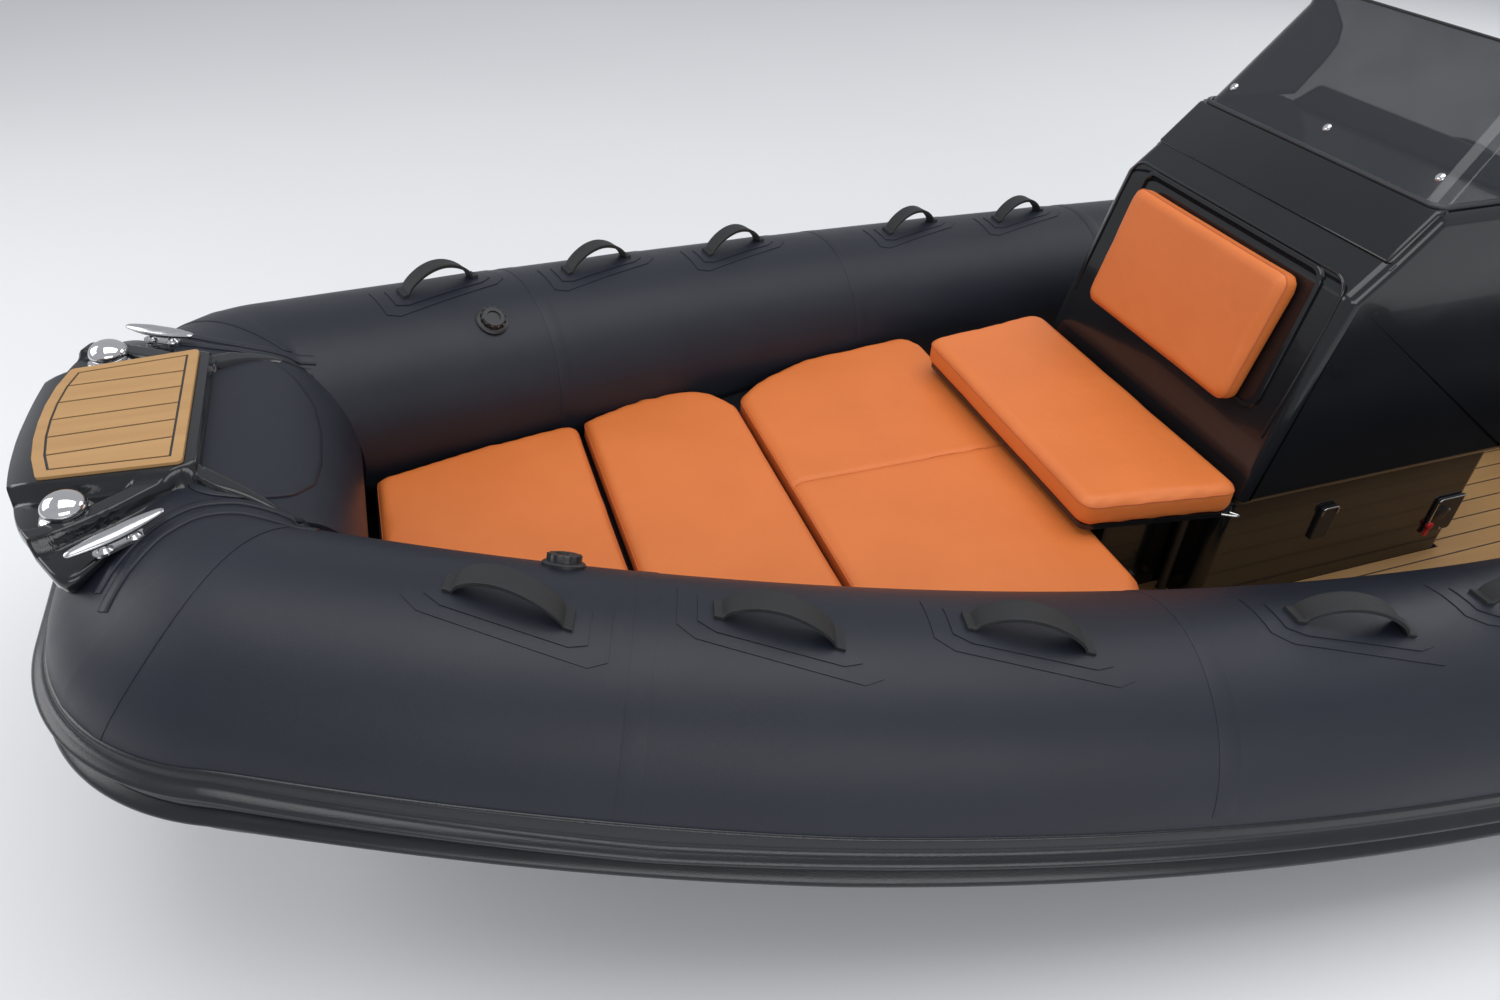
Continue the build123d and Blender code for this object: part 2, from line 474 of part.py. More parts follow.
def cleat(x, y, z, turn):
    """A deck cleat with its foot at (x, y, z)."""
    at = Pos(x, y, z) * Rot(0, 0, turn)
    bar = at * Pos(0, 0, CLEAT_H - 6) * Box(CLEAT_LEN, 20, 12)
    return bar + at * Pos(0, 0, CLEAT_H / 2 - 3) * Box(60, 22, CLEAT_H - 6)


def deck_fittings():
    """Cleats, side lights, arch and boarding ladder."""
    save("bow_cleats", both(cleat(*BOW_CLEAT, STEP_SHELF_Z, 27)))
    save("stern_cleats", both(cleat(*STERN_CLEAT, STERN_DECK_Z, 0)))
    save("side_lights", both(Pos(*LIGHT_PLACE, STEP_SHELF_Z + LIGHT_H / 2) * Cylinder(LIGHT_R, LIGHT_H)))
    leg = Pos(ARCH_X, ARCH_Y, (STERN_DECK_Z + ARCH_Z) / 2) * Cylinder(ARCH_R, ARCH_Z - STERN_DECK_Z)
    bar = Pos(ARCH_X, 0, ARCH_Z) * Rot(90, 0, 0) * Cylinder(ARCH_R + 3, 2 * (ARCH_Y + ARCH_R + 8))
    save("arch", fused(both(leg) + [bar]))
    low, high = LADDER_Y
    rails = [block(LADDER_X, -2830, y, y + 20, LADDER_Z - 9, LADDER_Z + 9) for y in (low, high)]
    treads = [block(x, x + 25, low + 19, high + 1, LADDER_Z - 8, LADDER_Z + 8) for x in (-3030, -2950, -2870)]
    hinge = block(LADDER_X - 8, LADDER_X + 8, low, high + 20, LADDER_Z - 8, LADDER_Z + 8)
    save("ladder", fused(rails + treads + [hinge]))


def main():
    """Build every node and write one file for each."""
    t = tubes()
    strake()
    h = hull(t)
    stern(t)
    bow(t, h)
    sole()
    console()
    seats()
    outboard()
    controls()
    tube_fittings()
    deck_fittings()
    os.makedirs("parts", exist_ok=True)
    for node, solids in NODES.items():
        export_step(solids[0] if len(solids) == 1 else Compound(children=solids), f"parts/{node}.step")


main()
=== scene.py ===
"""Looks of an inflatable rib boat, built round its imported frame.

Metres, in the frame's own axes: +X to the bow, +Y to port, +Z up, origin amidships on the waterline.
"""
from __future__ import annotations

import logging
import math
from dataclasses import dataclass, field
from enum import Enum
from typing import Callable, Iterable, Sequence

import bpy
import bmesh
import numpy as np
from mathutils import Matrix, Vector
from mathutils.bvhtree import BVHTree


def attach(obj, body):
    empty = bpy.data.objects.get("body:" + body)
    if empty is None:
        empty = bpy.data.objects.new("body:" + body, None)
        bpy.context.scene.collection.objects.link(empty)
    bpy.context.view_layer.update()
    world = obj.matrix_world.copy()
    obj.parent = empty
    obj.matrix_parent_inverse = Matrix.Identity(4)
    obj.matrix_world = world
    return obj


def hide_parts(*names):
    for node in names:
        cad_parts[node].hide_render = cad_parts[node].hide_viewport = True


LOG = logging.getLogger("rib_boat")
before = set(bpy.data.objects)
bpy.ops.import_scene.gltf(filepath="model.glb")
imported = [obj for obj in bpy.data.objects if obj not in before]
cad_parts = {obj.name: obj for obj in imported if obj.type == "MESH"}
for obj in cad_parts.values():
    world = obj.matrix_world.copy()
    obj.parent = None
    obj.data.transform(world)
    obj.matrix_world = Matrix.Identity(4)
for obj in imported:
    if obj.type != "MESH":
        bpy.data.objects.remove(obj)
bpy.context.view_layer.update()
Point = tuple[float, float, float]
Flat = tuple[float, float]
Outline = Sequence[Flat]


# ------------------------------------------------------------------ shader maths
class Wire:
    """A node socket that takes part in Python expressions."""

    def __init__(self, tree: bpy.types.NodeTree, socket: bpy.types.NodeSocket) -> None:
        """Wraps one output socket of a tree."""
        self.tree = tree
        self.socket = socket

    def _math(self, operation: str, other: "Wire | float", flip: bool = False) -> "Wire":
        """One Math node on this value and another.

        Args:
            operation: the Math node's operation.
            other: the second value.
            flip: puts the other value first.

        Returns:
            The result as a new wire.
        """
        node = self.tree.nodes.new("ShaderNodeMath")
        node.operation = operation
        for index, value in enumerate((other, self) if flip else (self, other)):
            if isinstance(value, Wire):
                self.tree.links.new(value.socket, node.inputs[index])
            else:
                node.inputs[index].default_value = float(value)
        return Wire(self.tree, node.outputs[0])

    def __add__(self, other: "Wire | float") -> "Wire":
        """Sum."""
        return self._math("ADD", other)

    def __sub__(self, other: "Wire | float") -> "Wire":
        """Difference."""
        return self._math("SUBTRACT", other)

    def __rsub__(self, other: float) -> "Wire":
        """Difference from a number."""
        return self._math("SUBTRACT", other, flip=True)

    def __mul__(self, other: "Wire | float") -> "Wire":
        """Product."""
        return self._math("MULTIPLY", other)

    __radd__ = __add__
    __rmul__ = __mul__


class Coat:
    """One material under construction, with a Principled shader at its end."""

    def __init__(self, name: str, **constants: object) -> None:
        """Starts a material.

        Args:
            name: its name.
            constants: Principled inputs that are the same all over, with _ for each space.
        """
        self.material = bpy.data.materials.new(name)
        self.material.use_nodes = True
        self.tree = self.material.node_tree
        self.shader = self.tree.nodes["Principled BSDF"]
        for key, value in constants.items():
            self.shader.inputs[key.replace("_", " ")].default_value = value

    def make(self, kind: str, settings: dict | None = None, output: int | str = 0, **inputs: object) -> Wire:
        """Any node.

        Args:
            kind: the node type, after "ShaderNode".
            settings: attributes of the node, set first; "stops" fills a colour ramp.
            output: which output to return.
            inputs: values or wires by socket name with _ for a space, or i0, i1 by number.

        Returns:
            The chosen output.
        """
        node = self.tree.nodes.new("ShaderNode" + kind)
        for key, value in (settings or {}).items():
            if key == "stops":
                for index, (place, colour) in enumerate(value):
                    ramp = node.color_ramp.elements
                    stop = ramp[index] if index < 2 else ramp.new(place)
                    stop.position, stop.color = place, colour
            else:
                setattr(node, key, value)
        for key, value in inputs.items():
            numbered = key[0] == "i" and key[1:].isdigit()
            slot = node.inputs[int(key[1:]) if numbered else key.replace("_", " ")]
            if isinstance(value, Wire):
                self.tree.links.new(value.socket, slot)
            else:
                slot.default_value = value
        return Wire(self.tree, node.outputs[output])

    def place(self, scale: Point = (1.0, 1.0, 1.0)) -> Wire:
        """Object coordinates, scaled."""
        return self.make("Mapping", Vector=self.make("TexCoord", output="Object"), Scale=scale)

    def noise(self, scale: float, detail: float = 3.0, stretch: Point = (1.0, 1.0, 1.0)) -> Wire:
        """Noise from nought to one at a scale in cycles per metre."""
        return self.make("TexNoise", Vector=self.place(stretch), Scale=scale, Detail=detail)

    def tint(self, factor: Wire, low: Sequence[float], high: Sequence[float]) -> Wire:
        """A colour between two, by a factor.

        Args:
            factor: nought to one.
            low: colour at nought.
            high: colour at one.

        Returns:
            The mixed colour.
        """
        return self.make("Mix", {"data_type": "RGBA"}, 2, i0=factor, i6=(*low, 1.0), i7=(*high, 1.0))

    def bump(self, height: Wire, depth: float, under: Wire | None = None) -> Wire:
        """A bump of a real depth in metres, over another if one is given."""
        extra = {"Normal": under} if under is not None else {}
        return self.make("Bump", Height=height, Distance=depth, Strength=1.0, **extra)

    def feed(self, **wires: Wire) -> "Coat":
        """Links wires to the shader's sockets, by name with _ for a space."""
        for key, value in wires.items():
            self.tree.links.new(value.socket, self.shader.inputs[key.replace("_", " ")])
        return self


# ------------------------------------------------------------------ finishes
@dataclass(frozen=True)
class TubeCloth:
    """Coated tube cloth: a very fine weave under a satin skin, with slow cloudy wear."""

    name: str = "tube_cloth"
    dark: Point = (0.0078, 0.0098, 0.0160)
    light: Point = (0.0150, 0.0185, 0.0290)
    roughness: float = 0.42

    def build(self) -> bpy.types.Material:
        """Makes the material."""
        coat = Coat(self.name, Specular_IOR_Level=0.36)
        cloud = coat.noise(2.4, 4.0)
        grain = coat.noise(900.0, 2.0)
        scuff = coat.noise(14.0, 6.0, (0.35, 1.0, 1.0))
        return coat.feed(
            Base_Color=coat.tint(cloud * 0.75 + scuff * 0.25, self.dark, self.light),
            Roughness=self.roughness - 0.08 + scuff * 0.16,
            Normal=coat.bump(grain, 0.00035, coat.bump(cloud, 0.004))).material


@dataclass(frozen=True)
class Rubber:
    """Moulded rubber: darker and duller than the cloth, with a dusty bloom."""

    name: str = "moulded_rubber"
    dark: Point = (0.014, 0.015, 0.018)
    light: Point = (0.040, 0.042, 0.050)
    roughness: float = 0.34

    def build(self) -> bpy.types.Material:
        """Makes the material."""
        coat = Coat(self.name)
        bloom = coat.noise(9.0, 5.0)
        return coat.feed(Base_Color=coat.tint(bloom, self.dark, self.light),
                         Roughness=self.roughness + bloom * 0.2,
                         Normal=coat.bump(coat.noise(420.0, 2.0), 0.0003)).material


@dataclass(frozen=True)
class Gelcoat:
    """Polished gelcoat: a clear coat over a colour, with a faint long ripple."""

    name: str = "black_gelcoat"
    colour: Point = (0.006, 0.0065, 0.008)
    lift: Point = (0.010, 0.011, 0.013)
    roughness: float = 0.12

    def build(self) -> bpy.types.Material:
        """Makes the material."""
        coat = Coat(self.name, Coat_Weight=0.25, Coat_Roughness=0.03, Specular_IOR_Level=0.4)
        ripple = coat.noise(5.0, 2.0)
        swirl = coat.noise(120.0, 4.0)
        return coat.feed(Base_Color=coat.tint(ripple, self.colour, self.lift),
                         Roughness=self.roughness + swirl * 0.08,
                         Normal=coat.bump(ripple, 0.0015)).material


@dataclass(frozen=True)
class Vinyl:
    """Marine vinyl: pebbled grain, soft sheen and small shifts of tone."""

    name: str = "orange_vinyl"
    dark: Point = (0.60, 0.150, 0.028)
    light: Point = (0.71, 0.190, 0.042)

    def build(self) -> bpy.types.Material:
        """Makes the material."""
        coat = Coat(self.name)
        tone = coat.noise(5.0, 4.0)
        pebble = coat.make("TexVoronoi", {"feature": "SMOOTH_F1"}, Vector=coat.place(), Scale=650.0)
        return coat.feed(Base_Color=coat.tint(tone, self.dark, self.light), Roughness=0.44 + tone * 0.12,
                         Normal=coat.bump(pebble, 0.0004, coat.bump(coat.noise(22.0, 3.0), 0.0012))).material


@dataclass(frozen=True)
class DeckTeak:
    """Synthetic teak: fine fore-and-aft grain with slow shifts of tone between strips."""

    name: str = "deck_teak"
    dark: Point = (0.33, 0.175, 0.062)
    light: Point = (0.49, 0.290, 0.118)

    def build(self) -> bpy.types.Material:
        """Makes the material."""
        coat = Coat(self.name)
        grain = coat.noise(70.0, 6.0, (0.05, 1.0, 1.0))
        tone = coat.noise(9.0, 2.0, (0.2, 2.0, 1.0))
        return coat.feed(Base_Color=coat.tint(grain * 0.45 + tone * 0.55, self.dark, self.light),
                         Roughness=0.55 + grain * 0.15, Normal=coat.bump(grain, 0.0003)).material


@dataclass(frozen=True)
class Metal:
    """Polished or cast metal with fine rub marks."""

    name: str = "polished_steel"
    colour: Point = (0.62, 0.63, 0.64)
    roughness: float = 0.14
    marks: float = 0.14

    def build(self) -> bpy.types.Material:
        """Makes the material."""
        coat = Coat(self.name, Metallic=1.0)
        rub = coat.noise(90.0, 5.0, (0.15, 1.0, 1.0))
        shade = tuple(0.8 * channel for channel in self.colour)
        return coat.feed(Base_Color=coat.tint(rub, shade, self.colour),
                         Roughness=self.roughness + rub * self.marks, Normal=coat.bump(rub, 0.0001)).material


@dataclass(frozen=True)
class SmokedSheet:
    """Smoked acrylic, seen through with a dark tint and faint smears."""

    name: str = "smoked_sheet"
    colour: Point = (0.020, 0.024, 0.030)

    def build(self) -> bpy.types.Material:
        """Makes the material."""
        coat = Coat(self.name, Base_Color=(*self.colour, 1.0), Specular_IOR_Level=0.6)
        smear = coat.noise(8.0, 4.0)
        return coat.feed(Roughness=0.03 + smear * 0.06, Alpha=0.66 + smear * 0.12).material


@dataclass(frozen=True)
class Webbing:
    """Woven strap: ribs across and along."""

    name: str = "strap_webbing"
    colour: Point = (0.0065, 0.0070, 0.0075)

    def build(self) -> bpy.types.Material:
        """Makes the material."""
        coat = Coat(self.name)
        weave = coat.make("TexWave", {"wave_type": "BANDS", "bands_direction": "DIAGONAL"},
                          1, Vector=coat.place(), Scale=160.0, Distortion=0.6)
        lift = tuple(2.4 * channel for channel in self.colour)
        return coat.feed(Base_Color=coat.tint(weave, self.colour, lift), Roughness=0.6 + weave * 0.15,
                         Normal=coat.bump(weave, 0.0005)).material


class Finish(Enum):
    """The finishes of the boat, each with the record's slot that it dresses."""

    CLOTH = (TubeCloth(), "tube_fabric")
    RUBBER = (Rubber(), "rubber")
    STRAKE = (Rubber("strake_rubber", (0.006, 0.007, 0.009), (0.012, 0.013, 0.016), 0.13), "rubber")
    BLACK = (Gelcoat(), "gelcoat_black")
    WHITE = (Gelcoat("white_gelcoat", (0.66, 0.66, 0.63), (0.72, 0.72, 0.70), 0.2), "gelcoat_white")
    ORANGE = (Vinyl(), "vinyl_orange")
    DARK_VINYL = (Vinyl("dark_vinyl", (0.012, 0.012, 0.014), (0.024, 0.024, 0.027)), "vinyl_black")
    TEAK = (DeckTeak(), "teak")
    STEEL = (Metal(), "steel")
    CHROME = (Metal("chrome_plate", (0.74, 0.74, 0.75), 0.04, 0.06), "chrome")
    CAST = (Metal("cast_alloy", (0.17, 0.17, 0.18), 0.4, 0.25), "engine_metal")
    PAINT = (Gelcoat("cowl_gloss", (0.010, 0.011, 0.014), (0.018, 0.019, 0.023), 0.22), "cowl_paint")
    PLASTIC = (Rubber("textured_plastic", (0.010, 0.010, 0.012), (0.022, 0.022, 0.024)), "plastic_black")
    WEBBING = (Webbing(), "webbing")
    SCREEN = (SmokedSheet(), "screen")
    THREAD = (Vinyl("orange_thread", (0.42, 0.090, 0.018), (0.55, 0.130, 0.030)), "vinyl_orange")
    RED = (Rubber("red_plastic", (0.50, 0.010, 0.020), (0.66, 0.020, 0.035)), "plastic_black")
    DIAL = (Rubber("dial_white", (0.70, 0.70, 0.68), (0.80, 0.80, 0.78)), "plastic_black")

    @property
    def slot(self) -> str:
        """The record's slot name."""
        return self.value[1]

    def material(self) -> bpy.types.Material:
        """The finish's material, made once."""
        return bpy.data.materials.get(self.value[0].name) or self.value[0].build()


# ------------------------------------------------------------------ shapes
@dataclass
class Shape:
    """Points and faces of one piece, in metres in the boat's frame."""

    verts: list[Vector] = field(default_factory=list)
    faces: list[tuple[int, ...]] = field(default_factory=list)

    def skin(self, rings: Sequence[Sequence[Point]], wrap: bool = True, caps: bool = True) -> "Shape":
        """Lays faces between rings of equal length.

        Args:
            rings: the rings, in order.
            wrap: joins each ring's last point to its first.
            caps: closes both ends.

        Returns:
            This shape.
        """
        start, count = len(self.verts), len(rings[0])
        for ring in rings:
            self.verts.extend(Vector(point) for point in ring)
        for i in range(len(rings) - 1):
            for j in range(count if wrap else count - 1):
                a, b = start + i * count + j, start + i * count + (j + 1) % count
                self.faces.append((a, b, b + count, a + count))
        if caps:
            last = start + (len(rings) - 1) * count
            self.faces.append(tuple(reversed(range(start, start + count))))
            self.faces.append(tuple(range(last, last + count)))
        return self

    def box(self, low: Point, high: Point) -> "Shape":
        """An upright block between two corners."""
        (x0, y0, z0), (x1, y1, z1) = low, high
        return self.skin([[(x0, y0, z), (x1, y0, z), (x1, y1, z), (x0, y1, z)] for z in (z0, z1)])

    def plate(self, outline: Outline, low: float, high: float) -> "Shape":
        """A plan outline of (x, y), raised from one height to another."""
        return self.skin([[(x, y, z) for x, y in outline] for z in (low, high)])

    def stack(self, outline: Outline, rows: Iterable[Flat], axis: str = "z") -> "Shape":
        """Layers of an outline across an axis, each drawn in by the gap of its row of (gap, place)."""
        order = {"x": (2, 0, 1), "y": (0, 2, 1), "z": (0, 1, 2)}[axis]
        return self.skin([[tuple((a, b, place)[i] for i in order) for a, b in inset(outline, gap)]
                          for gap, place in rows])

    def across(self, outline: Outline, left: float, right: float) -> "Shape":
        """A side outline of (x, z), carried from one y to another."""
        return self.skin([[(x, y, z) for x, z in outline] for y in (left, right)])

    def rod(self, path: Sequence[Point], radius: float | Sequence[float], sides: int = 16,
            closed: bool = False) -> "Shape":
        """A round bar along a path.

        Args:
            path: points of its middle line.
            radius: one radius, or one for each point.
            sides: faces round it.
            closed: joins the path's end to its start.

        Returns:
            This shape.
        """
        line = [Vector(point) for point in path]
        sizes = list(radius) if isinstance(radius, Sequence) else [radius] * len(line)
        ahead = (line[1] - line[0]).normalized()
        side = ahead.orthogonal().normalized()
        rings = []
        for i, centre in enumerate(line):
            before = line[i - 1] if i or closed else line[0]
            after = line[(i + 1) % len(line)] if i + 1 < len(line) or closed else line[-1]
            tangent = (after - before).normalized()
            side = (side - tangent * side.dot(tangent)).normalized()
            up = tangent.cross(side)
            rings.append([centre + (side * math.cos(math.tau * k / sides)
                                    + up * math.sin(math.tau * k / sides)) * sizes[i] for k in range(sides)])
        if closed:
            rings.append(rings[0])
        return self.skin(rings, caps=not closed)

    def turned(self, profile: Outline, place: Matrix, sides: int = 40) -> "Shape":
        """A profile of (radius, height) turned about an axis.

        Args:
            profile: from one end of the axis to the other.
            place: where the axis stands; its own +Z is the axis.
            sides: faces round it.

        Returns:
            This shape.
        """
        rings = [[place @ Vector((r * math.cos(math.tau * k / sides), r * math.sin(math.tau * k / sides), h))
                  for k in range(sides)] for r, h in profile]
        return self.skin(rings)

    def moved(self, place: Matrix) -> "Shape":
        """Carries all points by a matrix."""
        self.verts = [place @ point for point in self.verts]
        return self

    def add(self, other: "Shape") -> "Shape":
        """Takes in another shape's points and faces."""
        start = len(self.verts)
        self.verts += other.verts
        self.faces += [tuple(index + start for index in face) for face in other.faces]
        return self

    def mirrored(self) -> "Shape":
        """A copy on the other side of the boat."""
        flipped = [tuple(reversed(face)) for face in self.faces]
        return Shape([Vector((v.x, -v.y, v.z)) for v in self.verts], flipped)

    def both(self) -> "Shape":
        """Adds the mirror image."""
        return self.add(self.mirrored())


class Body(str, Enum):
    """The moving bodies of the frame."""

    BOAT = "boat"
    SEAT_LID = "seat_lid"
    BENCH_LID = "bench_lid"
    WHEEL = "wheel"
    ENGINE = "engine"
    SCREW = "screw"
    LADDER = "boarding_ladder"


def put(name: str, data: bpy.types.ID) -> bpy.types.Object:
    """A new object in the scene."""
    thing = bpy.data.objects.new(name, data)
    bpy.context.scene.collection.objects.link(thing)
    return thing


def soften(piece: bpy.types.Object, width: float) -> None:
    """Rounds a piece's sharp edges to a width."""
    edge = piece.modifiers.new("rounded", "BEVEL")
    edge.width, edge.segments, edge.limit_method = width, 3, "ANGLE"
    edge.angle_limit = math.radians(32.0)


def worked_out(piece: bpy.types.Object) -> bpy.types.Mesh:
    """A piece's mesh with its modifiers applied."""
    return bpy.data.meshes.new_from_object(piece.evaluated_get(bpy.context.evaluated_depsgraph_get()))


def place(name: str, shape: Shape, finish: Finish, body: Body = Body.BOAT, replaces: Iterable[str] = (),
          bevel: float = 0.0, crease: float = 38.0) -> bpy.types.Object:
    """Makes a shape into a piece of the boat.

    Args:
        name: the piece's name.
        shape: its points and faces.
        finish: what covers it.
        body: the body it rides on.
        replaces: CAD nodes it stands for.
        bevel: width of its rounded edges, in metres.
        crease: edges sharper than this many degrees stay crisp.

    Returns:
        The new object.
    """
    mesh = bpy.data.meshes.new(name)
    mesh.from_pydata([tuple(point) for point in shape.verts], [], shape.faces)
    grid = bmesh.new()
    grid.from_mesh(mesh)
    bmesh.ops.remove_doubles(grid, verts=grid.verts, dist=1e-6)
    bmesh.ops.dissolve_degenerate(grid, edges=grid.edges, dist=1e-6)
    bmesh.ops.recalc_face_normals(grid, faces=grid.faces)
    grid.to_mesh(mesh)
    grid.free()
    piece = put(name, mesh)
    if bevel:
        soften(piece, bevel)
    mesh.shade_smooth()
    mesh.set_sharp_from_angle(angle=math.radians(crease if not bevel else 80.0))
    return settle(piece, finish, body, replaces)


def settle(piece: bpy.types.Object, finish: Finish, body: Body, replaces: Iterable[str]) -> bpy.types.Object:
    """Dresses a piece and ties it to its body.

    Args:
        piece: the object.
        finish: what covers it.
        body: the body it rides on.
        replaces: CAD nodes it stands for.

    Returns:
        The same object.
    """
    piece.data.materials.clear()
    piece.data.materials.append(finish.material())
    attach(piece, body.value)
    for node in replaces:
        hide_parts(node)
    LOG.info("piece %s, on %s, in %s", piece.name, body.value, finish.name)
    return piece


def rounded(corners: Outline, radii: float | Sequence[float],
            steps: int = 8) -> list[Flat]:
    """A flat outline with arcs for corners.

    Args:
        corners: the sharp outline.
        radii: one radius, or one for each corner.
        steps: points on each arc.

    Returns:
        The rounded outline.
    """
    sizes = list(radii) if isinstance(radii, Sequence) else [radii] * len(corners)
    points = []
    for i, corner in enumerate(corners):
        here, before = Vector(corner), Vector(corners[i - 1])
        after = Vector(corners[(i + 1) % len(corners)])
        a, b = (before - here).normalized(), (after - here).normalized()
        half = math.acos(max(-1.0, min(1.0, a.dot(b)))) / 2
        if sizes[i] <= 0.0 or half > math.pi / 2 - 0.02:
            points.append(tuple(here))
            continue
        reach = min(sizes[i] / math.tan(half), (before - here).length * 0.49, (after - here).length * 0.49)
        radius = reach * math.tan(half)
        centre = here + (a + b).normalized() * (radius / math.sin(half))
        start = here + a * reach - centre
        turn = math.pi - 2 * half
        sign = 1.0 if a.cross(b) < 0 else -1.0
        for k in range(steps + 1):
            angle = sign * turn * k / steps
            x = start.x * math.cos(angle) - start.y * math.sin(angle)
            y = start.x * math.sin(angle) + start.y * math.cos(angle)
            points.append((centre.x + x, centre.y + y))
    return points


def oblong(x0: float, x1: float, y0: float, y1: float, radius: float = 0.0,
           steps: int = 8) -> list[Flat]:
    """A rectangle with rounded corners, between two values each way."""
    return rounded([(x0, y0), (x1, y0), (x1, y1), (x0, y1)], radius, steps)


def whole(half: Outline) -> list[Flat]:
    """A half outline on the port side, closed by its mirror image."""
    return [*half, *((x, -y) for x, y in reversed(half))]


def unit(value: float) -> float:
    """A value held between nought and one."""
    return max(0.0, min(1.0, float(value)))


def ease(value: float) -> float:
    """A value held between nought and one, with a smooth start and end."""
    share = unit(value)
    return share * share * (3 - 2 * share)


def spot(at: Point, axis: str = "Z", degrees: float = 0.0) -> Matrix:
    """A place at a point, turned about one axis."""
    return Matrix.Translation(at) @ Matrix.Rotation(math.radians(degrees), 4, axis)


# the steering column, +Z out of the console's back
COLUMN = spot((-0.545, 0.0, 0.965), "Y", -62.0)


def turns(at: Matrix, count: int) -> list[Matrix]:
    """A place, turned about its own +Z in even steps."""
    return [at @ Matrix.Rotation(math.tau * k / count, 4, "Z") for k in range(count)]


def middle_of(outline: Outline) -> Vector:
    """The mean of an outline's points."""
    return sum((Vector(point) for point in outline), Vector((0.0, 0.0))) / len(outline)


def smooth_line(points: Sequence[Point], steps: int = 6) -> list[Point]:
    """A smooth line through points, with its ends kept.

    Args:
        points: the points.
        steps: points on each span.

    Returns:
        The smoothed points.
    """
    line = [Vector(points[0]), *(Vector(point) for point in points), Vector(points[-1])]
    out = []
    for a, b, c, d in zip(line, line[1:], line[2:], line[3:]):
        for k in range(steps):
            t = k / steps
            out.append(tuple(0.5 * (2 * b + (c - a) * t + (2 * a - 5 * b + 4 * c - d) * t * t
                                    + (3 * b - a - 3 * c + d) * t ** 3)))
    return out + [tuple(points[-1])]


def clip(outline: Outline, low: float, high: float) -> list[Flat]:
    """The part of a convex outline of (x, y) between two values of y."""
    points = list(outline)
    for limit, sign in ((low, 1.0), (high, -1.0)):
        kept = []
        for i, (x1, y1) in enumerate(points):
            x0, y0 = points[i - 1]
            inside, was = sign * (y1 - limit) >= 0, sign * (y0 - limit) >= 0
            if inside != was:
                kept.append((x0 + (x1 - x0) * (limit - y0) / (y1 - y0), limit))
            if inside:
                kept.append((x1, y1))
        points = kept
    return points


def inset(outline: Outline, gap: float) -> list[Flat]:
    """A convex outline drawn in by a gap all round."""
    middle = middle_of(outline)
    points = []
    for i, corner in enumerate(outline):
        here, before = Vector(corner), Vector(outline[i - 1])
        after = Vector(outline[(i + 1) % len(outline)])
        sides = []
        for a, b in ((before, here), (here, after)):
            run = (b - a).normalized()
            normal = Vector((-run.y, run.x))
            sides.append(normal if normal.dot(middle - here) > 0 else -normal)
        total = sides[0] + sides[1]
        points.append(tuple(here + total * (gap / max(0.3, 1 + sides[0].dot(sides[1])))))
    return points


def shrunk(outline: Outline, gap: float) -> list[Flat]:
    """A convex outline drawn in by more than its corner radii, with a point for each of its own.

    Args:
        outline: the outline.
        gap: how far it is drawn in.

    Returns:
        The smaller outline, in which the points of a corner may coincide.
    """
    middle = middle_of(outline)
    core = [Vector(point) for point in outline]
    for i, corner in enumerate(outline):
        foot, run = Vector(outline[i - 1]), (Vector(corner) - Vector(outline[i - 1])).normalized()
        normal = Vector((-run.y, run.x))
        normal = normal if normal.dot(middle - foot) > 0 else -normal
        depths = [(point - foot).dot(normal) - gap for point in core]
        kept = []
        for k, point in enumerate(core):
            if (depths[k] >= 0) != (depths[k - 1] >= 0):
                kept.append(core[k - 1].lerp(point, depths[k - 1] / (depths[k - 1] - depths[k])))
            if depths[k] >= 0:
                kept.append(point)
        core = kept
    points = []
    for corner in outline:
        spots = []
        for a, b in zip(core, core[1:] + core[:1]):
            run = b - a
            share = (Vector(corner) - a).dot(run) / max(1e-12, run.length_squared)
            spots.append(a + run * unit(share))
        points.append(tuple(min(spots, key=lambda here: (here - Vector(corner)).length)))
    return points


